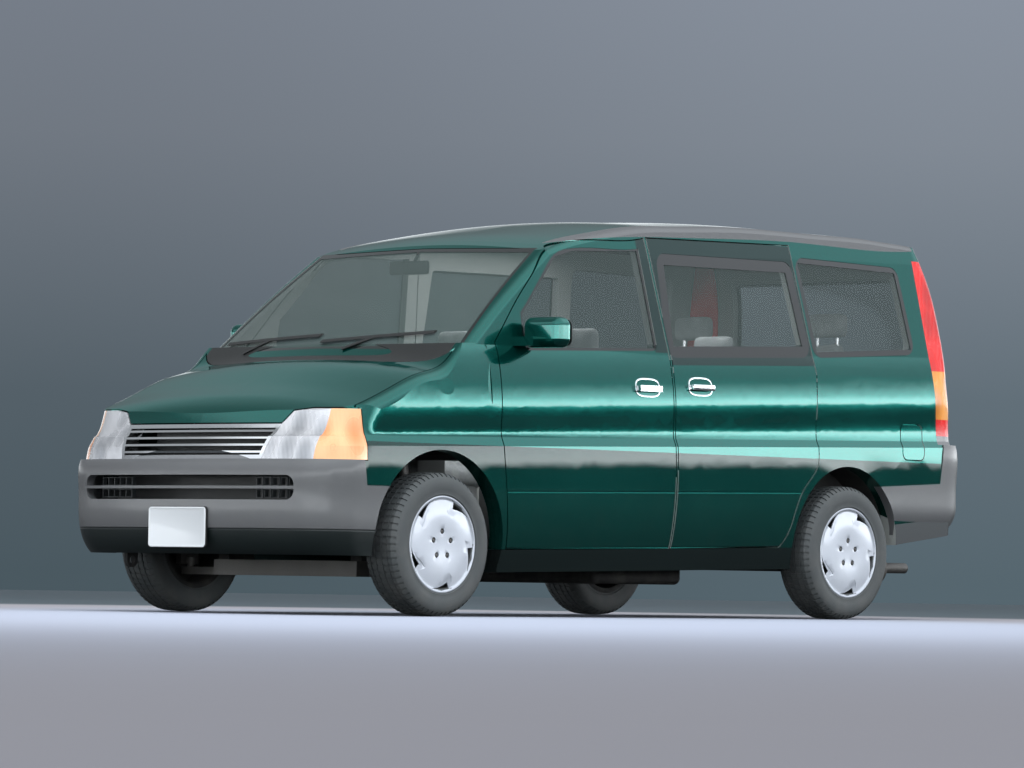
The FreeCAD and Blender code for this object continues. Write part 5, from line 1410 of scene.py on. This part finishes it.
# The crates in the bumper's slot: half a cell, its wall, the cells' spacing and where they lie.
CELL_HALF = Vector((0.0205, 0.012, 0.0190))
CELL_WALL = 0.0042
CRATE_START, CELL_STEP, CELL_ROW = 0.395, 0.042, 0.0255
CRATE_FRONT, CRATE_HEIGHT, BUMPER_BOW = -2.2150, 0.5395, 0.155


class MINIVAN_OT_crate(bpy.types.Operator):
    """Model the egg-crate blocks at both ends of the bumper slot"""

    bl_idname = "minivan.crate"
    bl_label = "Slot crates"

    def execute(self, context):
        cell = block("cell", -CELL_HALF, CELL_HALF)
        edit(cell, "FACE", lambda face: abs(face.normal.y) > 0.9)
        bpy.ops.mesh.inset(thickness=CELL_WALL)
        bpy.ops.mesh.bridge_edge_loops()
        done()
        cells = []
        for side in (1, -1):
            for column in range(5):
                x = side * (CRATE_START + CELL_STEP * column)
                y = CRATE_FRONT + x * x * BUMPER_BOW
                for row in (-1, 1):
                    place = Matrix.Translation((x, y, CRATE_HEIGHT + row * CELL_ROW))
                    cells.append(copied(cell, "cell_%d_%d_%d" % (side, column, row), place))
        bpy.data.objects.remove(cell)
        crate = united("slot_crates", cells)
        rounded(crate, 0.0008, 1, 60)
        smooth(crate, 30)
        coat(crate, "bumper_dark")
        settle(crate, "body")
        return {"FINISHED"}


# Cabin


FLOOR_LOW, FLOOR_HIGH = 0.33412, 0.47686
# Each seat: its middle, its front edge, its floor, how its width is scaled, where its head rests
# stand, and the node it belongs to.
BENCH_RESTS = (-0.41333, 0.41333)
SEATS = {
    "front_left": (0.37, -0.62168, FLOOR_LOW, 1.0, (0.37,), "front_seats"),
    "front_right": (-0.37, -0.62168, FLOOR_LOW, 1.0, (-0.37,), "front_seats"),
    "middle": (0.0, 0.28551, FLOOR_LOW, 1.0, BENCH_RESTS, "benches"),
    "rear": (0.0, 1.12823, FLOOR_HIGH, 0.84, BENCH_RESTS, "benches"),
}
SEAT_WIDE, BENCH_WIDE = 0.50, 1.24
# Upright channels sewn into a seat and a bench, and those across a cushion and a back.
SEAT_CHANNELS, BENCH_CHANNELS = (-0.115, 0.115), (-0.205, 0.205)
CUSHION_ACROSS, BACK_ACROSS = (0.155, 0.315), (0.15, 0.32)
CUSHION_SEAM, BACK_SEAM, CROSS_SEAM = 0.015, 0.016, 0.010
# How deep a pad is, how high a cushion's top lies, and how tall a back is.
PAD_DEEP, PAD_RISE, PAD_BACK = 0.130, 0.360, 0.560
CUSHION_LONG, BACK_FRONT = 0.50, 0.435
REST_HALF, REST_FRONT, REST_REAR, REST_SINK, REST_TALL = 0.13, 0.453, 0.543, 0.018, 0.132
PAD_EDGE, REST_EDGE, CHANNEL_WIDE = 0.034, 0.03, 0.016
PAD_SHRINK, PAD_VOXEL, PAD_CAP, PAD_PRESSURE = 0.016, 0.0125, 0.024, 4.0
CLOTH_FRAMES = 20
# A seat's base, in from its pads, and the posts of its head rests.
BASE_INSET, BASE_REAR, BASE_DROP, BASE_EDGE = 0.05, 0.44, 0.09, 0.02
POST_RADIUS, POST_OUT, POST_BACK, POST_SINK, POST_RISE = 0.006, 0.06, 0.498, 0.06, 0.03


class MINIVAN_OT_seats(bpy.types.Operator):
    """Model the seats: bases, padded cushions, backs and head rests, swollen by cloth pressure"""

    bl_idname = "minivan.seats"
    bl_label = "Seats"

    def execute(self, context):
        single = seat_pads("single", SEAT_WIDE, SEAT_CHANNELS)
        wide = seat_pads("wide", BENCH_WIDE, BENCH_CHANNELS)
        rest = make_rest()
        frames = {"front_seats": [], "benches": []}
        for spot, (x, y, floor, scale, rests, node) in SEATS.items():
            forms, half = (wide, BENCH_WIDE / 2) if node == "benches" else (single, SEAT_WIDE / 2)
            place = Matrix.Translation((x, y, floor)) @ Matrix.Diagonal((scale, 1.0, 1.0, 1.0))
            for part, form in forms.items():
                pad = copied(form, "%s_%s" % (part, spot), place)
                settle(pad, "body")
            for k, rest_x in enumerate(rests):
                place = Matrix.Translation((rest_x, y, floor))
                pad = copied(rest, "head_rest_%s_%d" % (spot, k), place)
                settle(pad, "body")
            frames[node].append(seat_frame(x, y, floor, half * scale, rests))
        for node, parts in frames.items():
            settle(united(node + "_frame", parts), "body", (node,))
        for form in (*single.values(), *wide.values(), rest):
            bpy.data.objects.remove(form)
        return {"FINISHED"}


def back_top():
    """How high a seat's back reaches above its floor."""
    return PAD_RISE + PAD_BACK - PAD_DEEP / 2


def seat_pads(name, wide, channels):
    """Cushion and back round a seat's own origin: its middle, front edge and floor."""
    half = wide / 2
    cushion = make_pad(name + "_cushion", (-half, 0.0, PAD_RISE - PAD_DEEP),
                       (half, CUSHION_LONG, PAD_RISE), PAD_EDGE)
    press(cushion, [(0, x, CUSHION_SEAM) for x in channels]
          + [(1, y, CROSS_SEAM) for y in CUSHION_ACROSS], Vector((0, 0, 1)))
    back = make_pad(name + "_back", (-half, BACK_FRONT, PAD_RISE - PAD_DEEP / 2),
                    (half, BACK_FRONT + PAD_DEEP, back_top()), PAD_EDGE)
    press(back, [(0, x, BACK_SEAM) for x in channels]
          + [(2, PAD_RISE + z, CROSS_SEAM) for z in BACK_ACROSS], Vector((0, -1, 0)))
    return {"cushion": finish_pad(cushion), "back": finish_pad(back)}


def make_rest():
    """A head rest round the same origin."""
    top = back_top()
    return finish_pad(make_pad("rest", (-REST_HALF, REST_FRONT, top - REST_SINK),
                               (REST_HALF, REST_REAR, top + REST_TALL), REST_EDGE))


def make_pad(name, low, high, bevel):
    """A pad: a soft box, evenly remeshed and swollen by cloth pressure."""
    shrink = Vector((PAD_SHRINK, PAD_SHRINK, PAD_SHRINK))
    pad = block(name, Vector(low) + shrink, Vector(high) - shrink, bevel, 4)
    applied(pad, "REMESH", mode="VOXEL", voxel_size=PAD_VOXEL)
    swell(pad)
    return pad


def swell(pad):
    """Run the cloth under inner pressure, and keep each point's movement within the cap."""
    scene = bpy.context.scene
    scene.frame_set(1)
    rest = [vertex.co.copy() for vertex in pad.data.vertices]
    cloth = pad.modifiers.new("cloth", "CLOTH")
    cloth.settings.use_pressure = True
    cloth.settings.uniform_pressure_force = PAD_PRESSURE
    cloth.settings.effector_weights.gravity = 0.0
    cloth.point_cache.frame_start, cloth.point_cache.frame_end = 1, CLOTH_FRAMES
    for number in range(1, CLOTH_FRAMES + 1):
        scene.frame_set(number)
    shape = pad.evaluated_get(bpy.context.evaluated_depsgraph_get())
    moved = [vertex.co.copy() for vertex in shape.data.vertices]
    pad.modifiers.remove(cloth)
    scene.frame_set(1)
    for vertex, old, new in zip(pad.data.vertices, rest, moved):
        step = new - old
        if step.length > PAD_CAP:
            step *= PAD_CAP / step.length
        vertex.co = old + step


def press(pad, lines, facing):
    """Sew channels into the pad's side that faces a way: each is an axis, a place and a depth."""
    for vertex in pad.data.vertices:
        normal = vertex.normal
        way = normal.dot(facing)
        if way < 0.35:
            continue
        sink = 0.0
        for axis, place, depth in lines:
            away = (vertex.co[axis] - place) / CHANNEL_WIDE
            sink = max(sink, depth * math.exp(-away * away))
        vertex.co = vertex.co - normal * sink * way


def finish_pad(pad):
    """Subdivide a pad once, smooth it and give it its cloth."""
    applied(pad, "SUBSURF", levels=1, render_levels=1)
    bpy.ops.object.shade_smooth()
    return coat(pad, "seat_cloth")


def seat_frame(x, y, floor, half, rests):
    """A seat's base, and the posts of its head rests."""
    base = block("base", (x - half + BASE_INSET, y + BASE_INSET, floor),
                 (x + half - BASE_INSET, y + BASE_REAR, floor + PAD_RISE - BASE_DROP), BASE_EDGE)
    smooth(base)
    parts = [coat(base, "cabin_plastic")]
    top, back = floor + back_top(), y + POST_BACK
    for rest_x in rests:
        for post_x in (rest_x - POST_OUT, rest_x + POST_OUT):
            post = rod("post", POST_RADIUS, (post_x, back, top - POST_SINK),
                       (post_x, back, top + POST_RISE), 16)
            smooth(post)
            parts.append(coat(post, "chrome"))
    return united("seat_frame", parts)


# Corners of the instrument hood, the console and the inside mirror, the heights of the console's
# pockets, and the ends of the mirror's stem.
HOOD = (-0.56, -1.10, 1.085), (-0.18, -0.84, 1.172)
CONSOLE = (-0.125, -0.92, 0.60), (0.125, -0.735, 1.06)
POCKETS = ((0.93, 1.02), (0.80, 0.90), (0.66, 0.77))
POCKET_HALF, POCKET_BACK, POCKET_MOUTH = 0.10, -0.750, -0.70
DIAL_RIM, DIAL_DEEP = 0.014, 0.05
INSIDE_MIRROR = (-0.204, -0.776, 1.526), (0.030, -0.752, 1.588)
MIRROR_STEM = (-0.060, -0.764, 1.575), (-0.005, -0.792, 1.618)
STEM_RADIUS = 0.008


class MINIVAN_OT_cabin(bpy.types.Operator):
    """Model the instrument hood, the centre console and the inside mirror"""

    bl_idname = "minivan.cabin"
    bl_label = "Cabin fittings"

    def execute(self, context):
        hood = block("instrument_hood", *HOOD)
        edit(hood, "FACE", lambda face: face.normal.y > 0.9)
        bpy.ops.mesh.inset(thickness=DIAL_RIM)
        extrude((0, -DIAL_DEEP, 0))
        done()
        rounded(hood, 0.022, 4, 50)
        smooth(hood)
        coat(hood, "cabin_plastic")
        console = block("console", *CONSOLE)
        for z0, z1 in POCKETS:
            carve(console, block("pocket", (-POCKET_HALF, POCKET_BACK, z0),
                                 (POCKET_HALF, POCKET_MOUTH, z1)))
        rounded(console, 0.008, 3, 50)
        smooth(console)
        coat(console, "cabin_plastic")
        settle(united("dash_fittings", [hood, console]), "body")
        mirror = block("inside_mirror", *INSIDE_MIRROR)
        rounded(mirror, 0.011, 4, 50)
        carve(mirror, rod("stem", STEM_RADIUS, *MIRROR_STEM, 16), "UNION")
        smooth(mirror)
        coat(mirror, "black_plastic", "mirror_silver")
        coat_faces(mirror, 1, lambda face: face.normal.y > 0.97 and face.area > 0.002)
        settle(mirror, "body")
        return {"FINISHED"}


# The add-on


class MINIVAN_PT_sidebar(bpy.types.Panel):
    """Lists the steps that dress the minivan"""

    bl_idname = "MINIVAN_PT_sidebar"
    bl_label = "Minivan"
    bl_space_type = "VIEW_3D"
    bl_region_type = "UI"
    bl_category = "Minivan"

    def draw(self, context):
        scene = context.scene
        for group in (scene.minivan_paint, scene.minivan_wheels, scene.minivan_stage):
            for label in group.__annotations__:
                self.layout.prop(group, label)
        for step in STEPS:
            self.layout.operator(step.bl_idname)


STEPS = (
    MINIVAN_OT_finishes, MINIVAN_OT_nodes, MINIVAN_OT_tyres, MINIVAN_OT_wheels,
    MINIVAN_OT_handles, MINIVAN_OT_plate, MINIVAN_OT_mirrors, MINIVAN_OT_crate,
    MINIVAN_OT_seats, MINIVAN_OT_cabin, MINIVAN_OT_stage,
)
CLASSES = (MinivanPaint, MinivanWheels, MinivanStage, *STEPS, MINIVAN_PT_sidebar)


def register():
    for item in CLASSES:
        bpy.utils.register_class(item)
    bpy.types.Scene.minivan_paint = bpy.props.PointerProperty(type=MinivanPaint)
    bpy.types.Scene.minivan_wheels = bpy.props.PointerProperty(type=MinivanWheels)
    bpy.types.Scene.minivan_stage = bpy.props.PointerProperty(type=MinivanStage)


def unregister():
    del bpy.types.Scene.minivan_stage
    del bpy.types.Scene.minivan_wheels
    del bpy.types.Scene.minivan_paint
    for item in reversed(CLASSES):
        bpy.utils.unregister_class(item)


def main():
    register()
    for step in STEPS:
        group, action = step.bl_idname.split(".")
        getattr(getattr(bpy.ops, group), action)()


if __name__ == "__main__":
    main()
